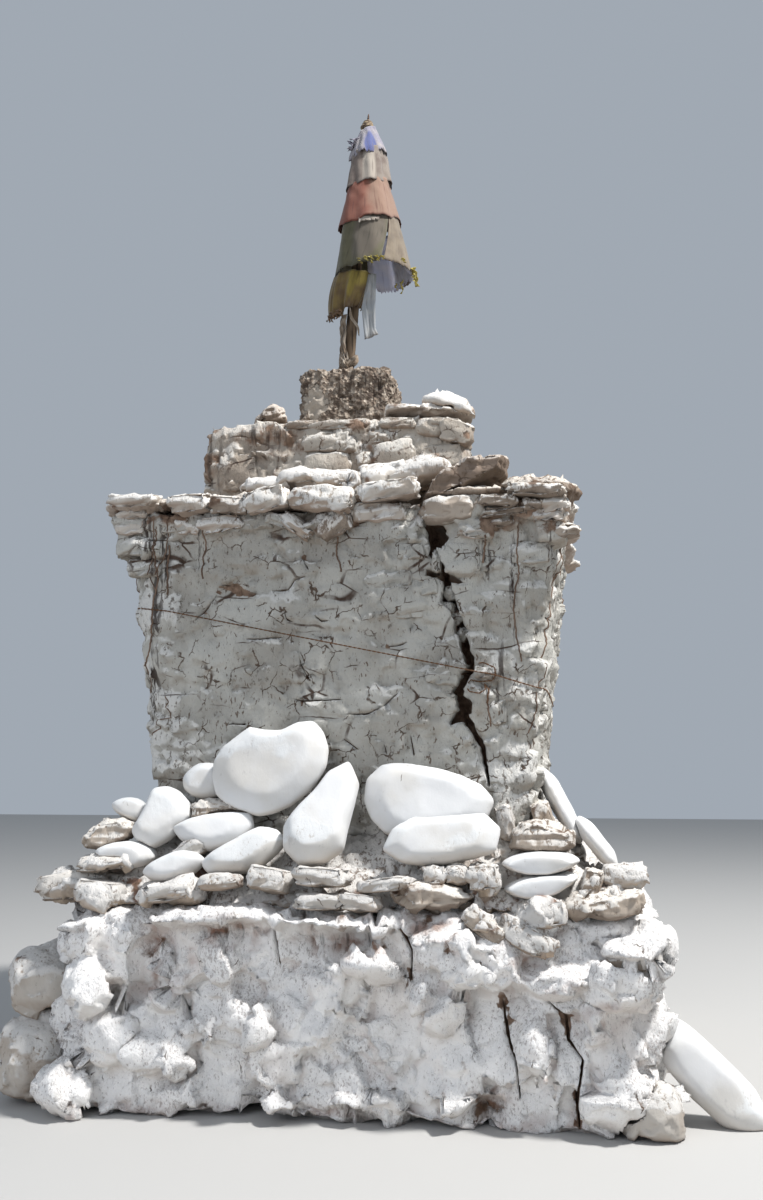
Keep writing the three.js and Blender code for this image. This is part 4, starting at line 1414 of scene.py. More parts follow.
def pressed(
    points: np.ndarray, hollows: Sequence[Stroke], face: Side, least_out: float
) -> np.ndarray:
    """Presses soft hollows into one side.

    Args:
        points: The points of the mass.
        hollows: Each hollow's middle along the side and up, half width and height, and depth.
        face: The side.
        least_out: How far out a point must lie to be on that side.

    Returns:
        The points, moved.
    """
    along, out = on_side(points, face)
    depth = np.zeros(len(points))
    for middle, height, wide, high, deep in hollows:
        away = ((along - middle) / wide) ** 2 + ((points[:, 2] - height) / high) ** 2
        depth = np.maximum(depth, deep * np.exp(-(away**2)))
    depth *= np.clip((out - least_out) / 0.15, 0, 1)
    inward = side_point(face, 0, -1, 0)
    return points + depth[:, None] * np.array(inward)[None, :]


def along_path(points: np.ndarray, path: Sequence[tuple[float, float]], face: Side) -> np.ndarray:
    """Measures how far each point lies from a path drawn on one side.

    Args:
        points: The points.
        path: The path's corners, along the side and up.
        face: The side.

    Returns:
        The distance of each point from the path, seen square on.
    """
    along, out = on_side(points, face)
    here = np.stack([along, points[:, 2]], 1)
    nearest = np.full(len(points), FAR)
    for start, end in zip(path, path[1:]):
        a, b = np.array(start), np.array(end)
        share = np.clip(((here - a) @ (b - a)) / ((b - a) @ (b - a)), 0, 1)
        nearest = np.minimum(nearest, np.linalg.norm(here - (a + share[:, None] * (b - a)), axis=1))
    return np.where(out > FACING, nearest, FAR)


@dataclass
class Plinth(Masonry):
    """The square base: thick lime over boulders, with overhanging lips, hollows and cracks."""

    name: str = "plinth_lime_crust"
    nodes: tuple[str, ...] = ("plinth",)
    voxel: float = 0.0135
    limit: int = 165_000
    soften: int = 3
    relief: Relief = Relief(facets=(0.28, 0.033), crags=(0.15, 0.009), ragged=0.42, seed=1.0)
    skin: Relief = Relief(
        crags=(0.06, 0.0035), knobs=(0.04, 0.0025), grain=(0.026, 0.0030), seed=1.5
    )
    hollows: tuple[Stroke, ...] = (
        (-0.75, 0.76, 0.08, 0.1, 0.05), (-0.44, 0.82, 0.16, 0.05, 0.04),
        (0.11, 0.79, 0.22, 0.05, 0.05), (0.37, 0.64, 0.08, 0.08, 0.05),
        (0.43, 0.4, 0.18, 0.2, 0.05), (-0.27, 0.1, 0.06, 0.06, 0.05),
        (0.66, 0.42, 0.12, 0.12, 0.04), (1.4, 0.44, 0.12, 0.1, 0.05),
        (0.79, 0.08, 0.08, 0.06, 0.12), (0.49, 0.88, 0.07, 0.07, 0.06),
        (0.93, 0.56, 0.06, 0.06, 0.04),
    )
    cracks: tuple[Crack, ...] = (
        Crack(
            ((0.86, 0.55, 0.008), (0.88, 0.41, 0.018), (0.92, 0.3, 0.014), (0.93, 0.13, 0.006)),
            0.10, (-1.40, 0.0),
        ),
        Crack(
            (
                (1.06, 0.57, 0.006), (1.14, 0.5, 0.012), (1.15, 0.4, 0.016), (1.21, 0.32, 0.012),
                (1.18, 0.15, 0.016), (1.19, 0.02, 0.008),
            ),
            0.10, (-1.40, 0.0),
        ),
        Crack(((-0.20, 0.88, 0.014), (-0.17, 0.68, 0.006)), 0.08, (-1.38, 0.0)),
        Crack(((0.40, 0.87, 0.016), (0.45, 0.76, 0.012), (0.44, 0.62, 0.006)), 0.08, (-1.39, 0.0)),
    )

    def shape(self, points: np.ndarray) -> np.ndarray:
        """Presses the hollows in and flattens the foot on the ground.

        Args:
            points: The points of the mass.

        Returns:
            The moved points.
        """
        points = pressed(points, self.hollows, Side.FRONT, 1.1)
        points[:, 2] = np.maximum(points[:, 2], 0)
        return points

    def weather(self, points: np.ndarray) -> dict[str, np.ndarray]:
        """Puts brown under the lips, soil at the foot and mud in cracks, and smooth grey plaster in
        hollows as painted shade.

        Args:
            points: The points of the finished mass.

        Returns:
            The amount at each point, by attribute name.
        """
        stains = soft_spots(
            points,
            [
                (-0.4, 0.84, 0.16, 0.08, 1.0), (0.12, 0.8, 0.24, 0.06, 0.9),
                (-0.78, 0.74, 0.07, 0.12, 0.9), (0.52, 0.87, 0.14, 0.1, 1.0),
                (0.95, 0.8, 0.1, 0.1, 0.8), (-0.8, 0.57, 0.05, 0.06, 1.0),
                (1.3, 0.52, 0.12, 0.1, 0.6), (0.79, 0.1, 0.1, 0.08, 1.0),
                (1.15, 0.62, 0.1, 0.05, 0.7), (-0.64, 0.66, 0.06, 0.1, 0.5),
            ],
        )
        foot = np.clip(1 - points[:, 2] / 0.10, 0, 1) * 0.6
        # Smooth grey plaster instead of crust in these hollows: a smoother finish, and painted shade.
        smooth = soft_spots(
            points,
            [
                (0.43, 0.38, 0.24, 0.26, 1.0), (1.42, 0.44, 0.16, 0.14, 1.0),
                (-0.2, 0.3, 0.16, 0.2, 0.7), (0.15, 0.56, 0.14, 0.1, 0.6),
                (-0.68, 0.7, 0.12, 0.14, 0.6), (0.98, 0.3, 0.06, 0.26, 0.6),
            ],
        )
        split = np.max([crack.inside(points) for crack in self.cracks], 0)
        return {
            "soil": np.maximum(foot, 0.8 * stains),
            "stain": 0.6 * stains,
            "bare": 0.25 * stains + 0.9 * split,
            "crust": -0.8 * smooth,
        }


SHAFT_FOOT_OUT = 0.965
SHAFT_FLARE = 0.0932
SHAFT_PLANE = (-SHAFT_FOOT_OUT + LEDGE_Z * SHAFT_FLARE, -SHAFT_FLARE)


@dataclass
class Shaft(Masonry):
    """The body that flares upwards: grey plaster over rubble, with an open crack down its front."""

    name: str = "shaft_plaster"
    nodes: tuple[str, ...] = ("body",)
    voxel: float = 0.0145
    limit: int = 165_000
    soften: int = 1
    finish: Limewash = GREY_PLASTER
    relief: Relief = Relief(
        stones=(0.34, 0.13), proud=0.012, joint=0.007, joint_share=0.08, swell=(0.45, 0.007),
        facets=(0.13, 0.011), crags=(0.10, 0.004), grain=(0.035, 0.002), seed=2.0,
    )
    cracks: tuple[Crack, ...] = (
        Crack(
            (
                (0.515, 2.935, 0.09), (0.538, 2.785, 0.075), (0.53, 2.675, 0.035),
                (0.585, 2.565, 0.03), (0.607, 2.445, 0.06), (0.652, 2.33, 0.035),
                (0.678, 2.205, 0.042), (0.715, 2.098, 0.045), (0.642, 1.982, 0.055),
                (0.675, 1.855, 0.045), (0.757, 1.695, 0.028), (0.792, 1.5, 0.012),
            ),
            0.20, SHAFT_PLANE,
        ),
        Crack(((0.49, 2.568, 0.03), (0.58, 2.552, 0.045), (0.68, 2.512, 0.03)), 0.12, SHAFT_PLANE),
        Crack(((0.54, 2.83, 0.03), (0.56, 2.75, 0.10), (0.585, 2.68, 0.02)), 0.22, SHAFT_PLANE),
        Crack(((0.585, 2.47, 0.03), (0.59, 2.43, 0.07), (0.61, 2.39, 0.02)), 0.20, SHAFT_PLANE),
        Crack(
            ((0.6, 1.81, 0.015), (0.66, 1.86, 0.07), (0.7, 1.9, 0.05), (0.64, 1.965, 0.03)),
            0.16, SHAFT_PLANE,
        ),
        *(
            Crack(
                tuple((x, z, 0.0035 + 0.0045 * (index % 2)) for index, (x, z) in enumerate(line)),
                0.03, SHAFT_PLANE, 0.5, 0.012, 0.08,
            )
            for line in (
                ((-0.574, 2.534), (-0.515, 2.533), (-0.484, 2.496), (-0.368, 2.478)),
                ((-0.444, 2.251), (-0.36, 2.25), (-0.255, 2.258)),
                ((-0.238, 2.394), (-0.229, 2.348), (-0.192, 2.333)),
                ((-0.142, 2.655), (-0.106, 2.593)),
                ((-0.601, 2.484), (-0.654, 2.413), (-0.719, 2.348)),
                ((-0.305, 2.497), (-0.222, 2.5), (-0.19, 2.55), (-0.122, 2.563)),
                ((-0.163, 2.151), (-0.148, 2.1), (-0.113, 2.04)),
                ((0.293, 2.204), (0.338, 2.203), (0.394, 2.222)),
                ((-0.078, 2.361), (-0.047, 2.335), (-0.006, 2.339)),
                ((-0.191, 1.94), (-0.124, 1.93), (0.06, 1.938)),
                ((0.08, 1.863), (0.181, 1.863), (0.263, 1.897), (0.344, 1.97)),
                ((-0.547, 1.817), (-0.447, 1.817)), ((0.058, 1.74), (0.138, 1.685)),
                ((0.265, 1.719), (0.279, 1.66)), ((0.401, 1.758), (0.419, 1.65)),
            )
        ),
    )
    blocks: tuple[tuple[float, float, float, float, float, float], ...] = (
        (0.68, 2.64, 0.23, 0.18, 0.035, 0), (0.545, 2.63, 0.05, 0.13, 0.02, 0),
        (0.75, 2.77, 0.2, 0.09, 0.06, -12), (0.62, 2.88, 0.31, 0.12, 0.05, 9),
        (0.37, 2.79, 0.15, 0.1, 0.02, 0), (0.42, 2.68, 0.18, 0.1, 0.015, 0),
        (0.18, 2.74, 0.21, 0.19, 0.015, 0), (0.3, 2.55, 0.3, 0.11, 0.012, 2),
        (0.49, 2.5, 0.16, 0.1, 0.02, 6), (0.4, 2.4, 0.2, 0.13, 0.01, 0),
        (0.61, 2.48, 0.09, 0.09, -0.05, 30), (0.58, 2.4, 0.1, 0.07, -0.02, -10),
        (0.63, 2.36, 0.07, 0.1, -0.07, 35), (0.66, 2.27, 0.06, 0.09, -0.07, -20),
        (0.775, 2.065, 0.11, 0.075, 0.04, -6), (0.738, 1.988, 0.07, 0.045, 0.04, 0),
        (0.83, 1.88, 0.12, 0.16, 0.01, 0), (0.57, 2.05, 0.2, 0.1, 0.02, -8),
        (-1.06, 2.875, 0.22, 0.1, 0.03, 1), (-1.03, 2.755, 0.24, 0.12, 0.02, 0),
        (-0.99, 2.635, 0.22, 0.11, 0.015, -1), (-0.81, 2.86, 0.22, 0.1, 0.02, 2),
        (-0.56, 2.85, 0.2, 0.1, 0.025, -2), (-0.37, 2.86, 0.19, 0.11, 0.03, 4),
        (-0.21, 2.83, 0.24, 0.06, 0.07, -20), (0.0, 2.85, 0.18, 0.08, 0.05, 28),
        (1.05, 2.86, 0.22, 0.1, 0.03, -2), (1.12, 2.75, 0.14, 0.1, 0.045, 0),
        (1.01, 2.66, 0.24, 0.13, 0.02, 1), (0.87, 2.84, 0.16, 0.1, 0.03, 3),
    )
    holes: tuple[Stroke, ...] = (
        (-0.42, 2.58, 0.05, 0.018, 0.02), (-0.07, 2.4, 0.04, 0.025, 0.03),
        (0.45, 2.1, 0.04, 0.03, 0.03), (-0.13, 2.86, 0.07, 0.03, 0.06),
        (0.5, 2.86, 0.05, 0.05, 0.05),
    )
    depth: float = 0.17
    sunk: float = 0.075
    lean: float = -5.3

    def set_on(self) -> list[bpy.types.Object]:
        """Lays the stones that stand out along the crack and in the top courses.

        Returns:
            The stones.
        """
        stones = []
        for index, (along, height, wide, high, out, tilt) in enumerate(self.blocks):
            wall = SHAFT_FOOT_OUT + (height - LEDGE_Z) * SHAFT_FLARE
            at = (along, -wall - out + self.sunk, height)
            size = (wide, self.depth, high)
            stones.append(QUARRY.lay(BLOCK, index, size, at, tilt, self.lean))
        return stones

    def shape(self, points: np.ndarray) -> np.ndarray:
        """Presses the dark holes in."""
        return pressed(points, self.holes, Side.FRONT, 0.85)

    def weather(self, points: np.ndarray) -> dict[str, np.ndarray]:
        """Draws the brown runs below the cornice, the mud at the top of the shaft, and brighter crust
        at the right ends and the foot, which is partly painted light.

        Args:
            points: The points of the finished mass.

        Returns:
            The amount at each point, by attribute name.
        """
        runs = [
            (-0.97, 2.72, 0.05, 0.24, 1.0), (-0.88, 2.7, 0.035, 0.3, 1.0),
            (-0.93, 2.4, 0.05, 0.35, 0.9), (-0.97, 2.05, 0.05, 0.3, 1.0),
            (-0.68, 2.72, 0.04, 0.2, 0.9), (0.93, 2.52, 0.025, 0.4, 1.0),
            (0.8, 2.64, 0.05, 0.16, 0.9), (0.1, 2.62, 0.04, 0.3, 0.5),
            (0.86, 2.05, 0.04, 0.2, 0.9), (1.12, 2.7, 0.05, 0.15, 0.8),
        ]
        stain = soft_spots(points, runs)
        for face in (Side.RIGHT, Side.BACK, Side.LEFT):
            rng = random.Random(face.value + 1)
            extra = [
                (rng.uniform(-1, 1), 2.7, rng.uniform(0.03, 0.08), rng.uniform(0.15, 0.4), 0.9)
                for _ in range(6)
            ]
            stain = np.maximum(stain, soft_spots(points, extra, face))
        top = np.clip((points[:, 2] - 2.86) / 0.06, 0, 1)
        mud = soft_spots(
            points,
            [
                (0.95, 2.86, 0.3, 0.1, 1.0), (0.05, 2.83, 0.16, 0.09, 1.0),
                (0.85, 2.8, 0.1, 0.1, 0.9), (-0.86, 2.89, 0.12, 0.07, 1.0),
                (0.48, 2.9, 0.12, 0.09, 1.0), (0.8, 2.03, 0.1, 0.03, 0.6),
                (-0.25, 2.88, 0.3, 0.05, 0.8), (0.62, 2.8, 0.14, 0.06, 0.7),
                (-0.55, 2.8, 0.16, 0.03, 0.6), (1.12, 2.74, 0.08, 0.08, 0.8),
            ],
        )
        # Brighter crust at the right end of each side and near the foot: rougher lime, and painted
        # light for the grazing light on its rough bits.
        rough = np.zeros(len(points))
        for face in Side:
            along, out = on_side(points, face)
            edge = np.clip((along - 0.74) / 0.14, 0, 1) * np.clip((2.9 - points[:, 2]) / 0.5, 0, 1)
            foot = np.clip((1.75 - points[:, 2]) / 0.35, 0, 1)
            rough = np.maximum(rough, np.where(out > 0.8, np.maximum(0.32 * edge, 0.4 * foot), 0))
        crumbs = soft_spots(points, [(-1.0, 2.38, 0.09, 0.16, 0.7), (-0.62, 1.72, 0.2, 0.1, 0.5)])
        split = np.max([crack.inside(points) for crack in self.cracks], 0)
        return {
            "stain": stain,
            "soil": 0.6 * mud + 0.3 * top,
            "bare": 0.5 * mud + 0.9 * split,
            "crust": np.maximum(rough, crumbs),
        }


@dataclass
class UpperTier(Masonry):
    """The smaller tier: coarse rubble with worn lime and a brown mud coping."""

    name: str = "tier_rubble"
    nodes: tuple[str, ...] = ("upper_tier",)
    voxel: float = 0.013
    limit: int = 70_000
    soften: int = 1
    finish: Limewash = TIER_PLASTER
    relief: Relief = Relief(
        stones=(0.24, 0.13), proud=0.013, joint=0.012, joint_share=0.10, swell=(0.3, 0.008),
        facets=(0.11, 0.011), crags=(0.08, 0.004), grain=(0.035, 0.002), seed=3.0,
    )
    blocks: tuple[tuple[float, float, float, float, float, float], ...] = (
        (-0.1, 3.24, 0.31, 0.19, 0.04, 0), (-0.11, 3.39, 0.32, 0.13, 0.035, 2),
        (0.01, 3.37, 0.14, 0.12, 0.03, 0), (0.28, 3.3, 0.27, 0.17, 0.05, 8),
        (0.47, 3.45, 0.17, 0.12, 0.03, -12), (0.55, 3.27, 0.29, 0.17, 0.03, 4),
        (0.62, 3.41, 0.2, 0.15, 0.05, -16), (0.11, 3.27, 0.12, 0.13, 0.03, 12),
        (-0.34, 3.2, 0.16, 0.11, 0.03, -10), (-0.6, 3.24, 0.26, 0.26, 0.02, 0),
        (-0.05, 3.49, 0.4, 0.07, 0.02, 1), (0.3, 3.48, 0.24, 0.08, 0.02, -2),
        (0.2, 3.41, 0.14, 0.09, 0.02, 5), (-0.25, 3.5, 0.22, 0.06, 0.02, 0),
        (0.56, 3.47, 0.22, 0.06, 0.03, -5), (0.15, 3.13, 0.3, 0.12, 0.05, 6),
        (-0.25, 3.08, 0.3, 0.11, 0.05, -5), (0.42, 3.14, 0.22, 0.12, 0.04, 10),
        (-0.55, 3.05, 0.3, 0.1, 0.03, 3),
    )
    front: float = 0.72
    depth: float = 0.19
    sunk: float = 0.085

    def set_on(self) -> list[bpy.types.Object]:
        """Lays the big stones that show in the tier's front.

        Returns:
            The stones.
        """
        stones = []
        for index, (along, height, wide, high, out, tilt) in enumerate(self.blocks):
            at = (along, -self.front - out + self.sunk, height)
            shape = BOULDER if index in (0, 3, 4, 7) else BLOCK
            stones.append(QUARRY.lay(shape, index, (wide, self.depth, high), at, tilt))
        return stones

    def weather(self, points: np.ndarray) -> dict[str, np.ndarray]:
        """Leaves brown mud along the coping and down the left corner.

        Args:
            points: The points of the finished mass.

        Returns:
            The amount at each point, by attribute name.
        """
        mud = soft_spots(
            points,
            [
                (-0.77, 3.3, 0.09, 0.24, 0.9), (-0.45, 3.44, 0.24, 0.08, 1.0),
                (-0.33, 3.38, 0.1, 0.1, 0.8), (0.2, 3.49, 0.26, 0.05, 0.7),
                (-0.4, 3.18, 0.05, 0.08, 0.8), (0.68, 3.3, 0.05, 0.1, 0.7),
                (0.12, 3.18, 0.08, 0.05, 0.7), (0.42, 3.22, 0.05, 0.06, 0.6),
            ],
        )
        patch = soft_spots(points, [(-0.56, 3.25, 0.12, 0.14, 1.0), (-0.10, 3.24, 0.12, 0.07, 0.9)])
        rim = soft_spots(points, [(-0.55, 3.26, 0.16, 0.19, 1.0), (-0.72, 3.50, 0.22, 0.03, 0.9)])
        mud = np.clip(mud - patch, 0, 1)
        top = np.clip((points[:, 2] - (TIER_TOP_Z - 0.06)) / 0.05, 0, 1)
        return {
            "bare": 0.42 * mud - 0.3 * patch,
            "soil": np.maximum(0.7 * mud, 0.4 * top),
            "stain": 0.8 * mud,
            "crust": 0.5 * rim - 1.2 * patch,
        }


@dataclass
class LedgeBank(Masonry):
    """The bank of mud, rubble and lime between the plinth's rim and the shaft's foot."""

    name: str = "ledge_bank_rubble"
    nodes: tuple[str, ...] = ("ledge_bank",)
    voxel: float = 0.014
    limit: int = 55_000
    soften: int = 2
    finish: Limewash = BANK_DIRT
    relief: Relief = Relief(
        facets=(0.16, 0.018), crags=(0.12, 0.006), knobs=(0.045, 0.004), grain=(0.03, 0.002),
        seed=6.0,
    )


@dataclass
class Heap:
    """The loose stones: each keeps its packed place, softened and given its own worn surface."""

    limed: tuple[str, ...] = (
        "lens_stone_lower", "lens_stone_upper", "oval_stone_front", "wedge_stone", "left_oval_low",
        "left_oval_long", "left_shadow_slab", "left_oval_high", "left_tall_stone",
        "left_pointed_stone", "hollow_top_stone", "small_round_stone", "oval_stone_back",
        "leaning_slab_near", "leaning_slab_far", "foot_slab_right",
    )
    dusty: tuple[str, ...] = (
        "fallen_slab_1", "fallen_slab_2", "fallen_slab_3", "tier_coping_2", "foot_boulder_low",
        "foot_boulder_high", "foot_stone_right",
    )
    bare: tuple[str, ...] = (
        "long_brown_stone", "brown_slab", "left_faceted_stone", "left_grey_stone",
        "rough_grey_stone", "tilted_slab", "tier_coping_1", "tier_stone",
    )
    brown: tuple[str, ...] = ("tilted_slab", "tier_stone")
    cornice: tuple[str, ...] = (
        *(f"cornice_slab_front_{number}" for number in range(1, 7)),
        "cornice_row_back", "cornice_row_left", "cornice_row_right",
    )
    muddy: tuple[str, ...] = tuple(f"cornice_slab_front_{number}" for number in (2, 3, 4, 5, 6))

    def _stone(
        self, node: str, relief: Relief, finish: Limewash, voxel: float, limit: int,
        soften: int = 8,
    ) -> bpy.types.Object:
        """Softens one stone and dresses it.

        Args:
            node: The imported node.
            relief: Its relief.
            finish: Its finish.
            voxel: The size of the cells that it is remeshed in.
            limit: The most triangles that it may keep.
            soften: How many times its edges are softened.

        Returns:
            The piece.
        """
        stone = copy_of(f"{node}_dressed", node)
        finish_with(stone, "REMESH", mode="VOXEL", voxel_size=voxel)
        finish_with(stone, "SMOOTH", factor=0.5, iterations=soften)
        raise_relief(stone, relief)
        points = points_of(stone)
        points[:, 2] = np.maximum(points[:, 2], 0)
        move_points(stone, points)
        thin_out(stone, limit)
        return dress(stone, finish, (node,))

    def build(self) -> None:
        """Builds every loose stone."""
        for index, node in enumerate(self.limed):
            relief = Relief(swell=(0.22, 0.005), grain=(0.05, 0.0006), seed=index)
            self._stone(node, relief, SMOOTH_COAT, 0.011, 3500, 20)
        for index, node in enumerate(self.dusty):
            relief = Relief(
                facets=(0.26, 0.020), crags=(0.12, 0.002), grain=(0.035, 0.0010), ragged=0.3,
                seed=index + 0.75,
            )
            self._stone(node, relief, DUSTY_COAT, 0.012, 6000, 4)
        for index, node in enumerate(self.bare):
            relief = Relief(
                facets=(0.15, 0.010), crags=(0.10, 0.003), layers=(0.025, 0.003),
                grain=(0.03, 0.0012), ragged=0.4, seed=index + 0.5,
            )
            finish = BROWN_STONE if node in self.brown else WORN_SLATE
            self._stone(node, relief, finish, 0.010, 6000, 3)
        for index, node in enumerate(self.cornice):
            relief = Relief(
                crags=(0.10, 0.004), facets=(0.10, 0.010), layers=(0.022, 0.004),
                grain=(0.03, 0.0015), seed=index + 0.25,
            )
            finish = EAVES_MUD if node in self.muddy else CORNICE_LIME
            limit = 14_000 if "row" in node else 4000
            self._stone(node, relief, finish, 0.011, limit, 4)


@dataclass
class Eaves:
    """The broken stones that show at the cornice's front, each with its own edges.

    Each is a shape, where it is along and up, its width and height, how far out it comes, and its
    tilt in degrees.
    """

    depth: float = 0.20
    limed: tuple[tuple[StoneShape, float, float, float, float, float, float], ...] = (
        (SLAB, -1.03, 2.975, 0.27, 0.085, 1.27, 1), (BLOCK, -1.06, 2.922, 0.19, 0.07, 1.205, 0),
        (BLOCK, -1.06, 2.848, 0.2, 0.095, 1.19, 0), (BLOCK, -0.72, 2.95, 0.24, 0.115, 1.28, 4),
        (BLOCK, -0.32, 2.955, 0.25, 0.15, 1.28, 12), (BOULDER, -0.04, 2.95, 0.36, 0.16, 1.29, -4),
        (BLOCK, -0.56, 2.85, 0.27, 0.105, 1.215, 9), (SLAB, -0.17, 2.825, 0.22, 0.075, 1.235, -38),
        (BLOCK, 0.27, 2.885, 0.33, 0.115, 1.19, 0), (BLOCK, -0.75, 2.85, 0.15, 0.105, 1.185, 0),
        (SLAB, 0.735, 2.768, 0.18, 0.085, 1.21, -14), (BLOCK, 1.115, 2.835, 0.2, 0.08, 1.215, 2),
        (BLOCK, 1.145, 2.895, 0.16, 0.1, 1.225, 12), (BLOCK, 0.31, 2.985, 0.34, 0.12, 1.27, 6),
    )
    bare: tuple[tuple[StoneShape, float, float, float, float, float, float], ...] = (
        (BLOCK, -0.51, 2.935, 0.22, 0.105, 1.265, -4), (BLOCK, 0.03, 2.82, 0.2, 0.14, 1.225, 24),
        (BLOCK, 0.09, 2.93, 0.12, 0.11, 1.27, 0), (BOULDER, 0.62, 2.88, 0.3, 0.145, 1.24, 5),
        (SLAB, 0.9, 2.862, 0.29, 0.06, 1.225, 3), (SLAB, 0.87, 2.912, 0.23, 0.065, 1.25, -6),
        (SLAB, 0.86, 2.806, 0.2, 0.045, 1.195, 5), (SLAB, 1.03, 2.89, 0.14, 0.06, 1.23, -10),
        (SLAB, 1.2, 2.76, 0.15, 0.065, 1.2, 2), (SLAB, 1.06, 2.955, 0.3, 0.07, 1.285, -2),
    )

    def build(self) -> None:
        """Lays the limed and the bare stones and dresses each lot as one piece."""
        for name, rows, finish, slot in (
            ("eaves_stones_limed", self.limed, CORNICE_LIME, "whitewashed_stone"),
            ("eaves_stones_bare", self.bare, WORN_SLATE, "bare_stone"),
        ):
            stones = []
            for index, (shape, along, height, wide, high, out, tilt) in enumerate(rows):
                at = (along, self.depth / 2 - out, height)
                stone = QUARRY.lay(shape, index, (wide, self.depth, high), at, tilt, -5)
                raise_relief(
                    stone,
                    Relief(
                        facets=(0.12, 0.006), layers=(0.03, 0.002), grain=(0.04, 0.0012),
                        ragged=0.4, seed=index + 0.3,
                    ),
                )
                stones.append(stone)
            dress(joined(name, stones), finish)


WAVE_PITCH = 0.3142  # A wave texture with a scale of one repeats every 314 mm.


@dataclass(frozen=True)
class Weave:
    """Faded cotton: a plain weave with slubs, bleached in patches and dirty along the hem."""

    name: str
    colour: str
    faded: str
    dirt: str = "6A5A48"
    patch: str = ""
    thin: float = 0.25
    thread: float = 0.0016
    # The sun bleaches patches of about 70 mm, and dust runs in streaks 17 mm by 170 mm.
    bleaching: float = 14.0
    streaks: Point = (60.0, 6.0, 1.0)

    def material(self) -> bpy.types.Material:
        """Draws the cloth up as a material.

        Returns:
            The material.
        """
        made = empty_material(self.name)
        graph = Graph(made.node_tree)
        across = graph.add("ShaderNodeUVMap", uv_map="cloth").outputs["UV"]
        place = graph.add("ShaderNodeTexCoord").outputs["Object"]
        sun = graph.add(
            "ShaderNodeTexNoise", {"Vector": place, "Scale": self.bleaching, "Detail": 4.0}
        )
        bleached = graph.add("ShaderNodeMapRange", (sun, 0.35, 0.7, 0.0, 1.0), **SOFT)
        cloth = graph.add(
            "ShaderNodeMix", (bleached, linear(self.colour), linear(self.faded)), **COLOUR
        )
        if self.patch:
            sewn = graph.add("ShaderNodeAttribute", attribute_name="patch")
            spread = graph.add(
                "ShaderNodeMath", (sun, 0.5, sewn.outputs["Fac"]), operation="MULTIPLY_ADD"
            )
            shown = graph.add("ShaderNodeMapRange", (spread, 0.42, 1.05, 0.0, 1.0), **SOFT)
            cloth = graph.add("ShaderNodeMix", (shown, cloth, linear(self.patch)), **COLOUR)
        hung = graph.add("ShaderNodeVectorMath", (across, self.streaks), operation="MULTIPLY")
        streaks = graph.add("ShaderNodeTexNoise", {"Vector": hung, "Scale": 1.0, "Detail": 3.0})
        dirty = graph.add("ShaderNodeMapRange", (streaks, 0.5, 0.8, 0.0, 0.7), **SOFT)
        soiled = graph.add("ShaderNodeMix", (dirty, cloth, linear(self.dirt)), **COLOUR)
        edge = graph.add("ShaderNodeAttribute", attribute_name="hem")
        hemmed = graph.add("ShaderNodeMath", (edge.outputs["Fac"], 0.7), operation="MULTIPLY")
        colour = graph.add("ShaderNodeMix", (hemmed, soiled, linear(self.dirt)), **COLOUR)
        threads = [
            graph.add(
                "ShaderNodeTexWave",
                {
                    "Vector": across, "Scale": WAVE_PITCH / self.thread, "Distortion": 0.6,
                    "Detail": 1.0,
                },
                bands_direction=way,
            )
            for way in ("X", "Y")
        ]
        woven = graph.add("ShaderNodeMath", tuple(threads), operation="MAXIMUM")
        bump = graph.add("ShaderNodeBump", {"Strength": 0.5, "Distance": 0.0006, "Height": woven})
        surface = graph.add(
            "ShaderNodeBsdfPrincipled",
            {
                "Base Color": colour, "Roughness": 0.88, "Normal": bump, "Sheen Weight": 0.35,
                "Sheen Roughness": 0.5,
            },
        )
        thin = graph.add("ShaderNodeBsdfTranslucent", {"Color": colour, "Normal": bump})
        both = graph.add("ShaderNodeMixShader", (self.thin, surface, thin))
        graph.add("ShaderNodeOutputMaterial", (both,))
        return made


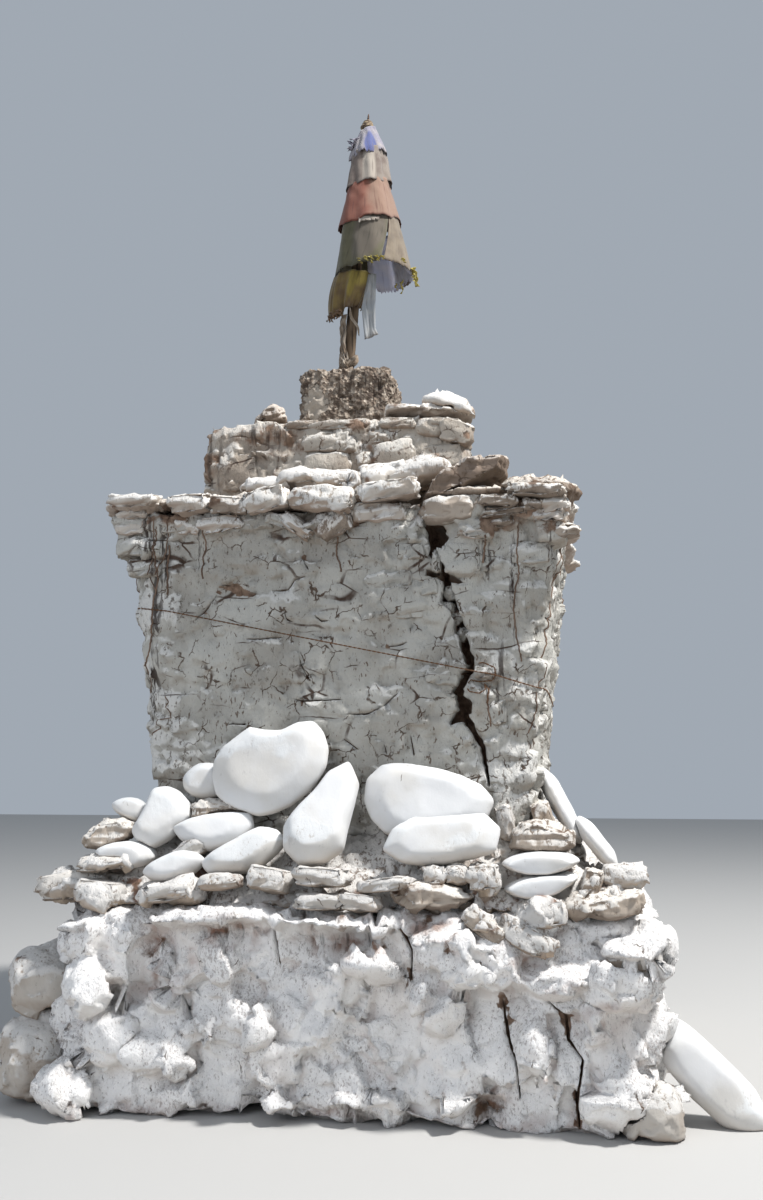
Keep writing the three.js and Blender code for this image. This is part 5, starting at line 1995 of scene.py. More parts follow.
@dataclass(frozen=True)
class MudBrick:
    """Sun-dried mud full of gravel: crumbly and matt, streaked by rain, with a scrap of plaster."""

    name: str = "crumbling_mud_brick"
    # Gravel of about 18 mm, crumbs of about 33 mm, and runs of rain 17 mm by 200 mm.
    gravel: float = 55.0
    crumbs: float = 30.0
    runs: Point = (60.0, 60.0, 5.0)

    def material(self) -> bpy.types.Material:
        """Draws the mud up as a material.

        Returns:
            The material.
        """
        made = empty_material(self.name)
        graph = Graph(made.node_tree)
        place = graph.add("ShaderNodeAttribute", attribute_name="rest").outputs["Vector"]
        gravel = graph.add(
            "ShaderNodeTexVoronoi", {"Vector": place, "Scale": self.gravel}, feature="F1"
        )
        tone = graph.add("ShaderNodeSeparateXYZ", (gravel.outputs["Color"],))
        pale = graph.add("ShaderNodeMapRange", (tone.outputs["X"], 0.3, 0.95, 0.0, 1.0))
        earth = graph.add("ShaderNodeMix", (pale, linear("75675A"), linear("AFA395")), **COLOUR)
        shade = graph.add(
            "ShaderNodeTexNoise", {"Vector": place, "Scale": self.crumbs, "Detail": 5.0}
        )
        rough = graph.add("ShaderNodeMapRange", (shade, 0.50, 0.62, 0.0, 0.9), **SOFT)
        crumbs = graph.add("ShaderNodeMix", (rough, earth, linear("4E4137")), **COLOUR)
        drawn = graph.add("ShaderNodeVectorMath", (place, self.runs), operation="MULTIPLY")
        runs = graph.add("ShaderNodeTexNoise", {"Vector": drawn, "Scale": 1.0, "Detail": 2.0})
        stain = graph.add("ShaderNodeAttribute", attribute_name="stain")
        wet = graph.add("ShaderNodeMapRange", (runs, 0.46, 0.62, 0.0, 1.0), **SOFT)
        dark = graph.add("ShaderNodeMath", (wet, stain.outputs["Fac"]), operation="MULTIPLY")
        streaked = graph.add("ShaderNodeMix", (dark, crumbs, linear("443830")), **COLOUR)
        scrap = graph.add("ShaderNodeAttribute", attribute_name="plaster")
        torn = graph.add("ShaderNodeMath", (scrap.outputs["Fac"], shade), operation="ADD")
        left = graph.add("ShaderNodeMapRange", (torn, 0.98, 1.06, 0.0, 0.85), **SOFT)
        colour = graph.add("ShaderNodeMix", (left, streaked, linear("A89F93")), **COLOUR)
        flat = graph.add("ShaderNodeMapRange", (left, 0.0, 1.0, 1.0, 0.15))
        height = graph.add("ShaderNodeMath", (gravel.outputs["Distance"], shade), operation="ADD")
        grainy = graph.add("ShaderNodeMath", (height, flat), operation="MULTIPLY")
        bump = graph.add("ShaderNodeBump", {"Strength": 1.0, "Distance": 0.012, "Height": grainy})
        surface = graph.add(
            "ShaderNodeBsdfPrincipled", {"Base Color": colour, "Roughness": 0.95, "Normal": bump}
        )
        graph.add("ShaderNodeOutputMaterial", (surface,))
        return made


@dataclass(frozen=True)
class WornSurface:
    """A streaky weathered surface, for grey wood, rusted iron and old twine."""

    name: str
    light: str
    dark: str
    stretch: Point = (40.0, 40.0, 4.0)
    contrast: tuple[float, float] = (0.38, 0.62)
    roughness: float = 0.85
    metallic: float = 0.0
    bump: float = 0.003

    def material(self) -> bpy.types.Material:
        """Draws the surface up as a material.

        Returns:
            The material.
        """
        made = empty_material(self.name)
        graph = Graph(made.node_tree)
        place = graph.add("ShaderNodeTexCoord").outputs["Object"]
        drawn = graph.add("ShaderNodeVectorMath", (place, self.stretch), operation="MULTIPLY")
        grain = graph.add("ShaderNodeTexNoise", {"Vector": drawn, "Scale": 1.0, "Detail": 5.0})
        worn = graph.add("ShaderNodeMapRange", (grain, *self.contrast, 0.0, 1.0), **SOFT)
        colour = graph.add("ShaderNodeMix", (worn, linear(self.dark), linear(self.light)), **COLOUR)
        bump = graph.add(
            "ShaderNodeBump", {"Strength": 0.8, "Distance": self.bump, "Height": grain}
        )
        surface = graph.add(
            "ShaderNodeBsdfPrincipled",
            {
                "Base Color": colour, "Roughness": self.roughness, "Metallic": self.metallic,
                "Normal": bump,
            },
        )
        graph.add("ShaderNodeOutputMaterial", (surface,))
        return made


# A peeled pole, split and weathered grey: dull, with its fibres along it. Fibres of 2 mm are drawn
# in bundles 25 mm wide and 250 mm long.
GREY_WOOD = WornSurface("weathered_grey_wood", "75624E", "33281F")
# Forged iron, rusted through: dark and matt, in blotches of about 11 mm.
RUSTY_IRON = WornSurface(
    "rusted_iron", "6B5040", "2A2320", stretch=(90.0, 90.0, 90.0), metallic=0.3, bump=0.001
)
# Beaten sheet metal, worn dull: a soft grey brown in blotches of about 17 mm, with hardly a gleam.
DULL_METAL = WornSurface("dull_worn_metal", "A8977B", "54443A", (60.0, 60.0, 60.0), metallic=0.2)
# Hemp twisted in two strands: brown and matt. Its fibres of 0.1 mm are drawn 3 mm wide.
HEMP_TWINE = WornSurface(
    "hemp_twine", "7A573A", "3F2C1E", stretch=(300.0, 300.0, 300.0), bump=0.001
)
# Mud that rain washed down and the sun dried: brown and matt, streaked along its run.
DRIED_MUD = WornSurface("dried_mud_run", "7A6454", "5A4638")
# Thin dyed cotton in a plain weave, bleached by the sun and brown with dust along its hems. Its
# threads of 0.4 mm are drawn 1.6 mm wide, so that the weave shows.
FADED_BLUE = Weave("faded_blue_cotton", "8F8C9C", "A8A2A2", dirt="6A6066", patch="535E92")
FADED_WHITE = Weave("faded_white_cotton", "91867C", "766860", dirt="564743", patch="B3A99D")
FADED_RED = Weave("faded_red_cotton", "854734", "925743", dirt="623329", patch="967866")
FADED_GREEN = Weave("faded_green_cotton", "5B573D", "666147", dirt="3F3B2C", patch="675E52")
FADED_YELLOW = Weave("faded_yellow_cotton", "7F6C3F", "685438", dirt="483724", patch="96853F")
FADED_BEIGE = Weave("faded_beige_cotton", "897C6A", "756859", dirt="57493E")
# A very pale lavender: painted light, for the sky light and the sun shining through the cloth inside
# the skirts.
LAVENDER_PAINTED_BACKLIGHT = Weave("lavender_cotton_painted_backlight", "D9DBE8", "E6E4EA", dirt="BAB8C8", thin=0.5)
SHEER_GREY = Weave("sheer_grey_cotton", "BCC0C3", "D0D0CE", dirt="8A8078", thin=0.5)
WORN_RAG = Weave("worn_rag_cotton", "8A7763", "B5A99A", dirt="4A382A")
KNOTTED_BROWN = Weave("knotted_brown_cotton", "5E4630", "8A6B4A", dirt="38281C")
FRINGE_YELLOW = Weave("torn_yellow_cotton", "A8983C", "C2B66A", dirt="857030")


@dataclass
class CrownBlock(Masonry):
    """The block of mud brick that holds the pole."""

    name: str = "crown_block_mud"
    nodes: tuple[str, ...] = ("crown_block",)
    slot: str = "mud_brick"
    voxel: float = 0.011
    limit: int = 40_000
    soften: int = 3
    finish: Any = MudBrick()
    relief: Relief = Relief(
        facets=(0.07, 0.010), knobs=(0.03, 0.007), swell=(0.2, 0.008), grain=(0.02, 0.002), seed=4.0
    )

    def weather(self, points: np.ndarray) -> dict[str, np.ndarray]:
        """Streaks the right half and leaves a scrap of plaster at the left.

        Args:
            points: The points of the finished mass.

        Returns:
            The amount at each point, by attribute name.
        """
        runs = soft_spots(points, [(0.09, 3.84, 0.15, 0.14, 1.0), (-0.1, 3.88, 0.2, 0.06, 0.5)])
        scrap = soft_spots(points, [(-0.27, 3.77, 0.10, 0.13, 0.8)])
        return {"stain": np.maximum(runs, 0.3), "plaster": scrap}


def pole_x(height: float) -> float:
    """Gives where the pole's axis stands at a height."""
    return POLE_FOOT_X + POLE_LEAN * (height - BLOCK_TOP_Z)


@dataclass
class FlagPole:
    """The leaning pole with its rusted cap and spike."""

    cap: tuple[tuple[float, float], ...] = (
        (0.03, 0.0), (0.044, 0.004), (0.047, 0.01), (0.044, 0.016), (0.034, 0.019),
        (0.036, 0.026), (0.036, 0.036), (0.029, 0.042), (0.03, 0.05), (0.02, 0.058), (0.006, 0.064),
    )
    spike: tuple[tuple[float, float], ...] = (
        (0.007, 0.0), (0.0065, 0.012), (0.0055, 0.03), (0.002, 0.045),
    )

    def _turned(
        self, name: str, profile: tuple[tuple[float, float], ...], foot: float, node: str,
        finish: WornSurface,
    ) -> None:
        """Raises a round piece ring by ring from a disc.

        Args:
            name: The piece's name.
            profile: The radius and height of each ring.
            foot: The height of its foot on the pole.
            node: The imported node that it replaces.
            finish: Its finish.
        """
        deselect()
        bpy.ops.mesh.primitive_circle_add(vertices=32, radius=profile[0][0], fill_type="NGON")
        piece = bpy.context.object
        bpy.ops.object.mode_set(mode="EDIT")
        bpy.ops.mesh.select_all(action="SELECT")
        for (before, low), (after, high) in zip(profile, profile[1:]):
            bpy.ops.mesh.extrude_region_move(TRANSFORM_OT_translate={"value": (0, 0, high - low)})
            bpy.ops.transform.resize(value=(after / before, after / before, 1))
        bpy.ops.mesh.select_all(action="SELECT")
        bpy.ops.mesh.normals_make_consistent(inside=False)
        bpy.ops.object.mode_set(mode="OBJECT")
        lean = Matrix.Rotation(math.atan(POLE_LEAN), 4, "Y")
        piece.data.transform(Matrix.Translation((pole_x(foot), 0, foot)) @ lean)
        piece.name = name
        finish_with(piece, "BEVEL", width=0.001, segments=2, limit_method="ANGLE")
        dress(piece, finish, (node,))

    def build(self) -> None:
        """Builds the pole, its cap and its spike."""
        pole = copy_of("pole_wood", "flag_pole")
        finish_with(pole, "REMESH", mode="VOXEL", voxel_size=0.009)
        finish_with(pole, "SMOOTH", factor=0.5, iterations=4)
        raise_relief(pole, Relief(swell=(0.25, 0.004), grain=(0.03, 0.001), seed=8.0))
        thin_out(pole, 12_000)
        dress(pole, GREY_WOOD, ("flag_pole",))
        self._turned("pole_cap_dull", self.cap, POLE_TOP_Z - 0.006, "pole_cap", DULL_METAL)
        self._turned("pole_spike_rusted", self.spike, POLE_TOP_Z + 0.058, "pole_spike", RUSTY_IRON)


TEARS = 400  # How many places along a hem are torn by their own amount.
ROUND = 6.28  # The widest random phase of a fold, about one turn.


@dataclass(frozen=True)
class Band:
    """One flag wrapped round the pole as a skirt, in turns from the front (0) to the right (90)."""

    name: str
    node: str
    finish: Weave
    slot: str
    top: float
    foot: float
    start: float = -180.0
    stop: float = 180.0
    out: float = 0.0
    flare: float = 0.008
    tilt: float = 0.0
    dip: float = 0.0
    slit: float = 0.0
    folds: tuple[float, float] = (7.0, 0.008)
    rags: float = 0.01
    patches: tuple[tuple[float, float, float, float], ...] = ()
    seed: int = 0


@dataclass
class Flags:
    """The faded flags: cotton skirts one below the other, with an open side, rags and tassels."""

    heights: tuple[float, ...] = (4.30, 4.60, 4.67, 4.84, 5.01, 5.27, 5.50, 5.68)
    middles: tuple[float, ...] = (0.120, 0.124, 0.124, 0.100, 0.073, 0.043, 0.025, 0.006)
    radii: tuple[float, ...] = (0.245, 0.245, 0.245, 0.220, 0.193, 0.140, 0.112, 0.048)
    thickness: float = 0.0016
    across: int = 84
    down: int = 20
    # The folds take up 3% of a band's width, and its hem 6% of its length.
    taken_up: tuple[float, float] = (1.03, 1.06)
    bands: tuple[Band, ...] = (
        Band("flag_blue_skirt", "flag_blue", FADED_BLUE, "blue_cotton", 5.675, 5.475, out=0.002,
             tilt=0.018, dip=0.022, folds=(5, 0.007), rags=0.012,
             patches=((16, 0.66, 24, 0.5),), seed=1),
        Band("flag_white_skirt", "flag_white", FADED_WHITE, "white_cotton", 5.51, 5.266,
             tilt=0.018, dip=0.014, folds=(5, 0.010), rags=0.003,
             patches=((8, 0.5, 20, 0.8),), seed=2),
        Band("flag_red_skirt", "flag_red", FADED_RED, "red_cotton", 5.285, 5.010, tilt=0.022,
             dip=0.028, folds=(4, 0.008), rags=0.004, patches=((64, 0.5, 66, 1.2),), seed=3),
        Band("flag_green_skirt", "flag_green", FADED_GREEN, "green_cotton", 5.04, 4.665,
             start=-170, stop=17, out=-0.008, slit=31, folds=(5, 0.009), rags=0.004,
             patches=((-12, 0.36, 30, 0.6),), seed=4),
        Band("torn_white_scrap", "", FADED_WHITE, "white_cotton", 4.992, 4.950, start=-14, stop=24,
             out=-0.001, folds=(9, 0.002), rags=0.010, patches=((0, 0.5, 20, 2.0),), seed=9),
        Band("flag_beige_panel", "flag_beige", FADED_BEIGE, "beige_cotton", 5.07, 4.668,
             start=21, stop=150, out=-0.006, slit=31, folds=(8, 0.004), rags=0.006, seed=5),
        # The sheet inside the open skirts is coloured pale as painted light, from the sky and the sun
        # through the cloth.
        Band("flag_lavender_back", "", LAVENDER_PAINTED_BACKLIGHT, "blue_cotton", 5.02, 4.66,
             start=60, stop=200, out=-0.014, folds=(6, 0.006), rags=0.01, seed=6),
    )

    def _skirt(self, height: np.ndarray) -> tuple[np.ndarray, np.ndarray]:
        """Gives the skirt's middle and radius at each height."""
        middle = np.interp(height, self.heights, self.middles) + pole_x(height)
        return middle, np.interp(height, self.heights, self.radii)

    def _cloth(
        self, name: str, size: tuple[float, float], place: Callable[..., np.ndarray],
        rows: tuple[int, int], patches: Sequence[tuple[float, float, float, float]] = (),
    ) -> bpy.types.Object:
        """Makes a sheet from a flat grid.

        Args:
            name: The sheet's name.
            size: Its flat width and length.
            place: Gives the points for shares across and down the sheet.
            rows: How many faces there are across and down.
            patches: Where its other colour shows: shares across and down, and half sizes.

        Returns:
            The sheet, with a map of its threads in metres.
        """
        deselect()
        bpy.ops.mesh.primitive_grid_add(x_subdivisions=rows[0], y_subdivisions=rows[1], size=1)
        sheet = bpy.context.object
        sheet.name = name
        sheet.data.uv_layers[0].name = "cloth"
        uv = np.empty(len(sheet.data.loops) * 2, np.float32)
        sheet.data.uv_layers[0].data.foreach_get("uv", uv)
        uv = uv.reshape(-1, 2) * np.array(size)
        sheet.data.uv_layers[0].data.foreach_set("uv", uv.astype(np.float32).ravel())
        flat = points_of(sheet)
        across, down = flat[:, 0] + 0.5, 0.5 - flat[:, 1]
        move_points(sheet, place(across, down))
        paint(sheet, "hem", np.clip((down - 0.93) / 0.07, 0, 1))
        shown = np.zeros(len(flat))
        for middle, height, wide, high in patches:
            away = ((across - middle) / wide) ** 2 + ((down - height) / high) ** 2
            shown = np.maximum(shown, np.exp(-(away**2)))
        paint(sheet, "patch", shown)
        return sheet

    def _close(self, sheet: bpy.types.Object) -> None:
        """Gives a sheet its thickness.

        Args:
            sheet: The sheet, open and with no thickness yet.
        """
        select(sheet)
        bpy.ops.object.mode_set(mode="EDIT")
        bpy.ops.mesh.select_all(action="SELECT")
        bpy.ops.mesh.normals_make_consistent(inside=False)
        bpy.ops.object.mode_set(mode="OBJECT")
        finish_with(sheet, "SOLIDIFY", thickness=self.thickness, offset=0)

    def _band(self, band: Band) -> None:
        """Hangs one band round the pole.

        Args:
            band: The band.
        """
        rng = np.random.default_rng(band.seed)
        phase = rng.uniform(0, ROUND, 6)
        tears = rng.normal(0, 1, TEARS)

        def place(across: np.ndarray, down: np.ndarray) -> np.ndarray:
            """Puts the band's points round the skirt.

            Args:
                across: The points' shares across the cloth.
                down: Their shares down it.

            Returns:
                The points.
            """
            slit = band.slit * (1 - down)
            stop = band.stop + slit if band.start < 0 else band.stop
            start = band.start + slit if band.start > 0 else band.start
            turn = np.radians(start + (stop - start) * across)
            jag = np.interp(across * (TEARS - 1), np.arange(TEARS), tears) * band.rags
            wave = 0.006 * np.sin(5 * turn + phase[0]) + 0.004 * np.sin(11 * turn + phase[1])
            foot = band.foot + band.tilt * np.sin(turn) + wave + np.abs(jag) * 1.5
            foot = foot - band.dip * np.cos(turn)
            top = band.top + band.tilt * np.sin(turn)
            height = top + (foot - top) * down
            middle, radius = self._skirt(height)
            number, depth = band.folds
            fold = np.sin(number * turn + phase[2] + 1.5 * down)
            fold += 0.5 * np.sin(2.3 * number * turn + phase[3] - 2 * down)
            crumple = 0.0025 * np.sin(60 * height + 9 * turn + phase[4])
            reach = radius + band.out + band.flare * (down - 0.5)
            reach = reach + depth * fold * (0.35 + 0.65 * down) + crumple * (1 - down) ** 2
            return np.stack([middle + reach * np.sin(turn), -reach * np.cos(turn), height], 1)

        girth = float(np.interp((band.top + band.foot) / 2, self.heights, self.radii))
        turned = math.radians(band.stop - band.start + band.slit / 2)
        width = round(turned * girth * self.taken_up[0], 2)
        length = round((band.top - band.foot) * self.taken_up[1], 2)
        span = band.stop - band.start
        patches = [
            ((turn - band.start) / span, down, wide / span, high)
            for turn, down, wide, high in band.patches
        ]
        rows = (self.across, self.down)
        sheet = self._cloth(band.name, (width, length), place, rows, patches)
        self._close(sheet)
        dress(sheet, band.finish, (band.node,) if band.node else ())

    def _yellow(self) -> None:
        """Gathers the yellow flag at the pole's left, drawn in towards its foot."""

        def place(across: np.ndarray, down: np.ndarray) -> np.ndarray:
            """Puts the yellow flag's points round the pole.

            Args:
                across: The points' shares across the cloth.
                down: Their shares down it.

            Returns:
                The points.
            """
            turn = np.radians(-150 + 260 * across)
            height = 4.675 - down * (0.215 + 0.070 * np.exp(-(((turn + 0.9) / 0.9) ** 2)))
            left = 0.5 - 0.5 * np.sin(turn)
            middle = pole_x(height) - 0.006 - 0.02 * down
            reach = 0.125 - 0.045 * down**2 * (1 - 0.75 * left) + 0.012 * np.sin(math.pi * down)
            fold = 0.012 * np.sin(9 * turn + 1.0) + 0.006 * np.sin(17 * turn + 2 * down)
            reach = reach + fold * (0.4 + 0.8 * down)
            return np.stack([middle + reach * np.sin(turn), -reach * np.cos(turn), height], 1)

        golden = ((0.68, 0.05, 0.15, 0.42), (0.60, 0.45, 0.04, 0.3))
        sheet = self._cloth("flag_yellow_gathered", (0.60, 0.30), place, (80, 20), golden)
        self._close(sheet)
        dress(sheet, FADED_YELLOW, ("flag_yellow",))

    def _tail(self) -> None:
        """Hangs the thin pale tail below the open side."""

        def place(across: np.ndarray, down: np.ndarray) -> np.ndarray:
            """Puts the tail's points.

            Args:
                across: The points' shares across the cloth.
                down: Their shares down it.

            Returns:
                The points.
            """
            height = 4.655 - 0.43 * down + 0.03 * across * down
            left = np.interp(down, (0, 0.5, 1), (0.02, -0.024, -0.002))
            right = np.interp(down, (0, 0.5, 0.9, 1), (0.07, 0.064, 0.065, 0.083))
            x = left + (right - left) * across
            y = -0.088 + 0.006 * np.sin(9 * across + 4 * down)
            y += 0.003 * np.sin(23 * across - 5 * down)
            return np.stack([x, y, height], 1)

        sheet = self._cloth("flag_tail_thin", (0.11, 0.43), place, (16, 40))
        self._close(sheet)
        dress(sheet, SHEER_GREY, ("flag_tail",))

    def _strip(
        self, name: str, start: Point, stop: Point, width: float, twists: float, seed: int
    ) -> bpy.types.Object:
        """Makes one twisted rag between two points.

        Args:
            name: Its name.
            start: Where it is held.
            stop: Where it ends.
            width: How wide it is.
            twists: How many half turns it makes.
            seed: Its random number.

        Returns:
            The rag.
        """
        a, b = np.array(start), np.array(stop)
        rng = np.random.default_rng(seed)
        phase = rng.uniform(0, ROUND, 3)

        def place(across: np.ndarray, down: np.ndarray) -> np.ndarray:
            """Puts the rag's points.

            Args:
                across: The points' shares across the cloth.
                down: Their shares down it.

            Returns:
                The points.
            """
            line = a + (b - a) * down[:, None]
            line = line + 0.006 * np.sin(9 * down + phase[0])[:, None] * np.array([1, 0.6, 0])
            turn = twists * math.pi * down + phase[1]
            half = (across - 0.5) * width * (1 - 0.5 * down)
            curl = 0.3 * width * np.sin(6 * across + 5 * down + phase[2])
            side = np.stack([np.cos(turn), np.sin(turn), 0 * turn], 1)
            face = np.stack([-np.sin(turn), np.cos(turn), 0 * turn], 1)
            return line + side * half[:, None] + face * curl[:, None] * 0.3

        length = float(np.linalg.norm(b - a))
        sheet = self._cloth(name, (width, length), place, (4, 16))
        self._close(sheet)
        return sheet

    def _wrap(self) -> None:
        """Winds old rags round the foot of the pole."""
        rags = []
        size, count = (0.24, 0.05), 7
        for index in range(count):
            low, high = 3.985 + 0.014 * index, 4.07 + 0.018 * index
            phase = 0.9 * index

            def place(
                across: np.ndarray, down: np.ndarray, low: float = low, high: float = high,
                phase: float = phase, away: float = 0.003 * (index % 2),
            ) -> np.ndarray:
                """Puts one rag's points round the pole.

                Args:
                    across: The points' shares across the cloth.
                    down: Their shares down it.
                    low: The height where it starts.
                    high: The height where it ends.
                    phase: Where round the pole it starts, in radians.
                    away: How much further out it lies.

                Returns:
                    The points.
                """
                turn = phase + 4.9 * across
                height = low + (high - low) * across - 0.05 * (down - 0.5)
                height = height + 0.010 * np.sin(5 * turn + phase)
                reach = 0.043 + away + 0.007 * np.sin(9 * turn + 7 * down + phase)
                reach = reach + 0.012 * np.sin(math.pi * down) * np.sin(math.pi * across)
                return np.stack(
                    [pole_x(height) + reach * np.sin(turn), -reach * np.cos(turn), height], 1
                )

            rags.append(self._cloth("rag", size, place, (40, 5)))
        for rag in rags:
            self._close(rag)
        ends = [
            ((-0.15, -0.05, 4.41), (-0.155, -0.05, 4.18), 0.036, 1.2),
            ((-0.135, -0.06, 4.41), (-0.16, -0.05, 4.06), 0.034, 1.5),
            ((-0.11, -0.08, 4.45), (-0.035, -0.07, 4.26), 0.026, 0.8),
            ((-0.165, -0.04, 4.2), (-0.135, -0.06, 4.01), 0.036, 1.3),
            ((-0.14, -0.07, 4.38), (-0.12, -0.07, 4.1), 0.022, 2.2),
            ((-0.16, -0.05, 4.3), (-0.11, -0.07, 4.03), 0.02, 1.4),
            ((-0.155, -0.06, 4.16), (-0.1, -0.07, 4.0), 0.032, 1.6),
            ((-0.15, -0.06, 4.34), (-0.16, -0.05, 4.12), 0.024, 2.0),
            ((-0.14, -0.07, 4.12), (-0.09, -0.08, 4.0), 0.022, 1.1),
        ]
        for index, (start, stop, width, twists) in enumerate(ends):
            rags.append(self._strip("rag", start, stop, width, twists, index))
        area = count * size[0] * size[1]
        area += sum(width * math.dist(start, stop) for start, stop, width, _ in ends)
        wrap = joined("pole_wrap_rags", rags)
        dress(wrap, WORN_RAG, ("pole_wrap",))

    def _rags(
        self, name: str, finish: Weave, ends: Sequence[tuple[Point, Point, float]],
    ) -> None:
        """Hangs a set of torn rags as one piece.

        Args:
            name: The piece's name.
            finish: Its cloth.
            ends: Where each rag is held, where it ends and how wide it is.
        """
        rags = [
            self._strip("rag", start, stop, width, 2.5, index)
            for index, (start, stop, width) in enumerate(ends)
        ]
        whole = joined(name, rags)
        dress(whole, finish)

    def _tassels(self) -> None:
        """Hangs the rags along the open hem, the yellow flag's fringe and the blue tuft."""
        hem = [
            ((0.285, 0.0, 4.7), (0.318, -0.01, 4.585), 0.055),
            ((0.295, -0.04, 4.7), (0.308, -0.05, 4.62), 0.045),
            ((0.21, 0.06, 4.67), (0.212, 0.05, 4.57), 0.022),
            ((0.16, 0.11, 4.67), (0.17, 0.1, 4.62), 0.02),
        ]
        for turn, drop in ((-22, 0.04), (-12, 0.03), (-4, 0.05), (5, 0.04), (12, 0.03), (44, 0.03)):
            x = 0.075 + 0.245 * math.sin(math.radians(turn))
            y = -0.245 * math.cos(math.radians(turn))
            hem.append(((x, y, 4.70), (x + 0.015, y - 0.008, 4.70 - drop), 0.03))
        self._rags(
            "flag_tassels", FRINGE_YELLOW, hem
        )
        rng = random.Random(12)
        fringe = []
        for index in range(14):
            turn = math.radians(-82 + 5 * index)
            x, y, z = -0.124 + 0.118 * math.sin(turn), -0.118 * math.cos(turn), 4.425
            end_x = x + rng.uniform(-0.015, 0.025)
            end_y = y + rng.uniform(-0.02, 0.005)
            end_z = z + rng.uniform(-0.07, -0.02)
            fringe.append(((x, y, z), (end_x, end_y, end_z), 0.02))
        self._rags(
            "yellow_fringe", KNOTTED_BROWN, fringe,
        )
        tuft = [
            ((-0.07, -0.02, 5.6), (-0.118, -0.03, 5.53), 0.06),
            ((-0.075, -0.05, 5.6), (-0.105, -0.06, 5.52), 0.06),
            ((-0.07, 0.01, 5.6), (-0.12, 0.0, 5.56), 0.05),
            ((-0.085, -0.04, 5.56), (-0.122, -0.03, 5.6), 0.04),
        ]
        self._rags("blue_tuft", FADED_BLUE, tuft)

    def build(self) -> None:
        """Hangs every flag."""
        for band in self.bands:
            self._band(band)
        self._yellow()
        self._tail()
        self._wrap()
        self._tassels()


def thread_along(
    name: str, places: Sequence[Vector], radius: float, closed: bool = False
) -> bpy.types.Object:
    """Runs a round thread through places.

    Args:
        name: The thread's name.
        places: Where it runs.
        radius: Its radius.
        closed: Whether it runs back to its start.

    Returns:
        The thread as a curve.
    """
    data = bpy.data.curves.new(name, "CURVE")
    data.dimensions = "3D"
    data.bevel_depth = radius
    data.bevel_resolution = 1
    data.use_fill_caps = not closed
    spline = data.splines.new("POLY")
    spline.points.add(len(places) - 1)
    spline.points.foreach_set("co", [c for place in places for c in (*place, 1.0)])
    spline.use_cyclic_u = closed
    thread = bpy.data.objects.new(name, data)
    bpy.context.scene.collection.objects.link(thread)
    return thread


def as_mesh(name: str, threads: Sequence[bpy.types.Object]) -> bpy.types.Object:
    """Turns threads into one mesh.

    Args:
        name: The name of the piece.
        threads: The curves, each with its thickness.

    Returns:
        The piece.
    """
    select(*threads)
    bpy.ops.object.convert(target="MESH")
    return joined(name, list(bpy.context.selected_objects))


GOLDEN = 0.618  # Steps of the golden section spread the widths of the runs evenly.


@dataclass
class MudRuns:
    """The thin raised runs of mud that wind down the plaster, the same on each side."""

    radius: float = 0.0045
    step: float = 0.012
    proud: float = 0.001
    runs: tuple[tuple[tuple[float, float], ...], ...] = (
        ((-0.942, 2.886), (-0.937, 2.75), (-0.976, 2.596), (-0.938, 2.492)),
        (
            (-0.926, 2.833), (-0.932, 2.678), (-0.922, 2.574), (-0.938, 2.481), (-0.95, 2.368),
            (-0.977, 2.214), (-1.005, 2.112),
        ),
        ((-0.856, 2.903), (-0.872, 2.748), (-0.9, 2.677), (-0.927, 2.553)),
        ((-0.856, 2.748), (-0.868, 2.603), (-0.874, 2.48)),
        ((-0.662, 2.855), (-0.658, 2.721), (-0.674, 2.67), (-0.683, 2.557)),
        ((-1.004, 2.143), (-0.989, 2.04), (-1.01, 1.979)),
        ((0.04, 2.761), (0.034, 2.67), (0.054, 2.619), (0.063, 2.569)),
        ((0.963, 2.794), (0.957, 2.55), (0.934, 2.419), (0.938, 2.227), (0.968, 2.106)),
        ((0.799, 2.738), (0.781, 2.596)), ((0.805, 1.997), (0.793, 1.907), (0.81, 1.786)),
        ((1.03, 1.965), (1.028, 1.875), (0.981, 1.755)),
    )

    def _run(
        self, wall: BVHTree, run: Sequence[tuple[float, float]], face: Side, seed: int
    ) -> list[Vector]:
        """Lets one run wind down the wall.

        Args:
            wall: The faces of the shaft.
            run: Its corners, along and up.
            face: The side that it is on.
            seed: Makes each wind its own way.

        Returns:
            The places that it runs through.
        """
        rng = random.Random(seed)
        outward = side_point(face, 0, 1, 0)
        places, drift = [], 0.0
        for (x, z), (next_x, next_z) in zip(run, run[1:]):
            steps = max(1, round(math.hypot(next_x - x, next_z - z) / self.step))
            for step in range(steps):
                share = step / steps
                drift = 0.8 * drift + rng.uniform(-0.004, 0.004)
                start = side_point(
                    face, x + (next_x - x) * share + drift, OUTSIDE, z + (next_z - z) * share
                )
                hit = wall.ray_cast(start, -outward)[0]
                if hit:
                    places.append(hit + outward * self.proud)
        return places

    def build(self) -> None:
        """Draws every run on every side and dresses them as one piece."""
        wall = surface_of(bpy.data.objects["shaft_plaster"])
        threads = []
        for face in Side:
            for index, run in enumerate(self.runs):
                places = self._run(wall, run, face, index + face.value)
                if len(places) > 2:
                    radius = self.radius * (0.7 + 0.5 * ((index * GOLDEN) % 1))
                    threads.append(thread_along("mud_run", places, radius))
        dress(as_mesh("mud_runs", threads), DRIED_MUD)


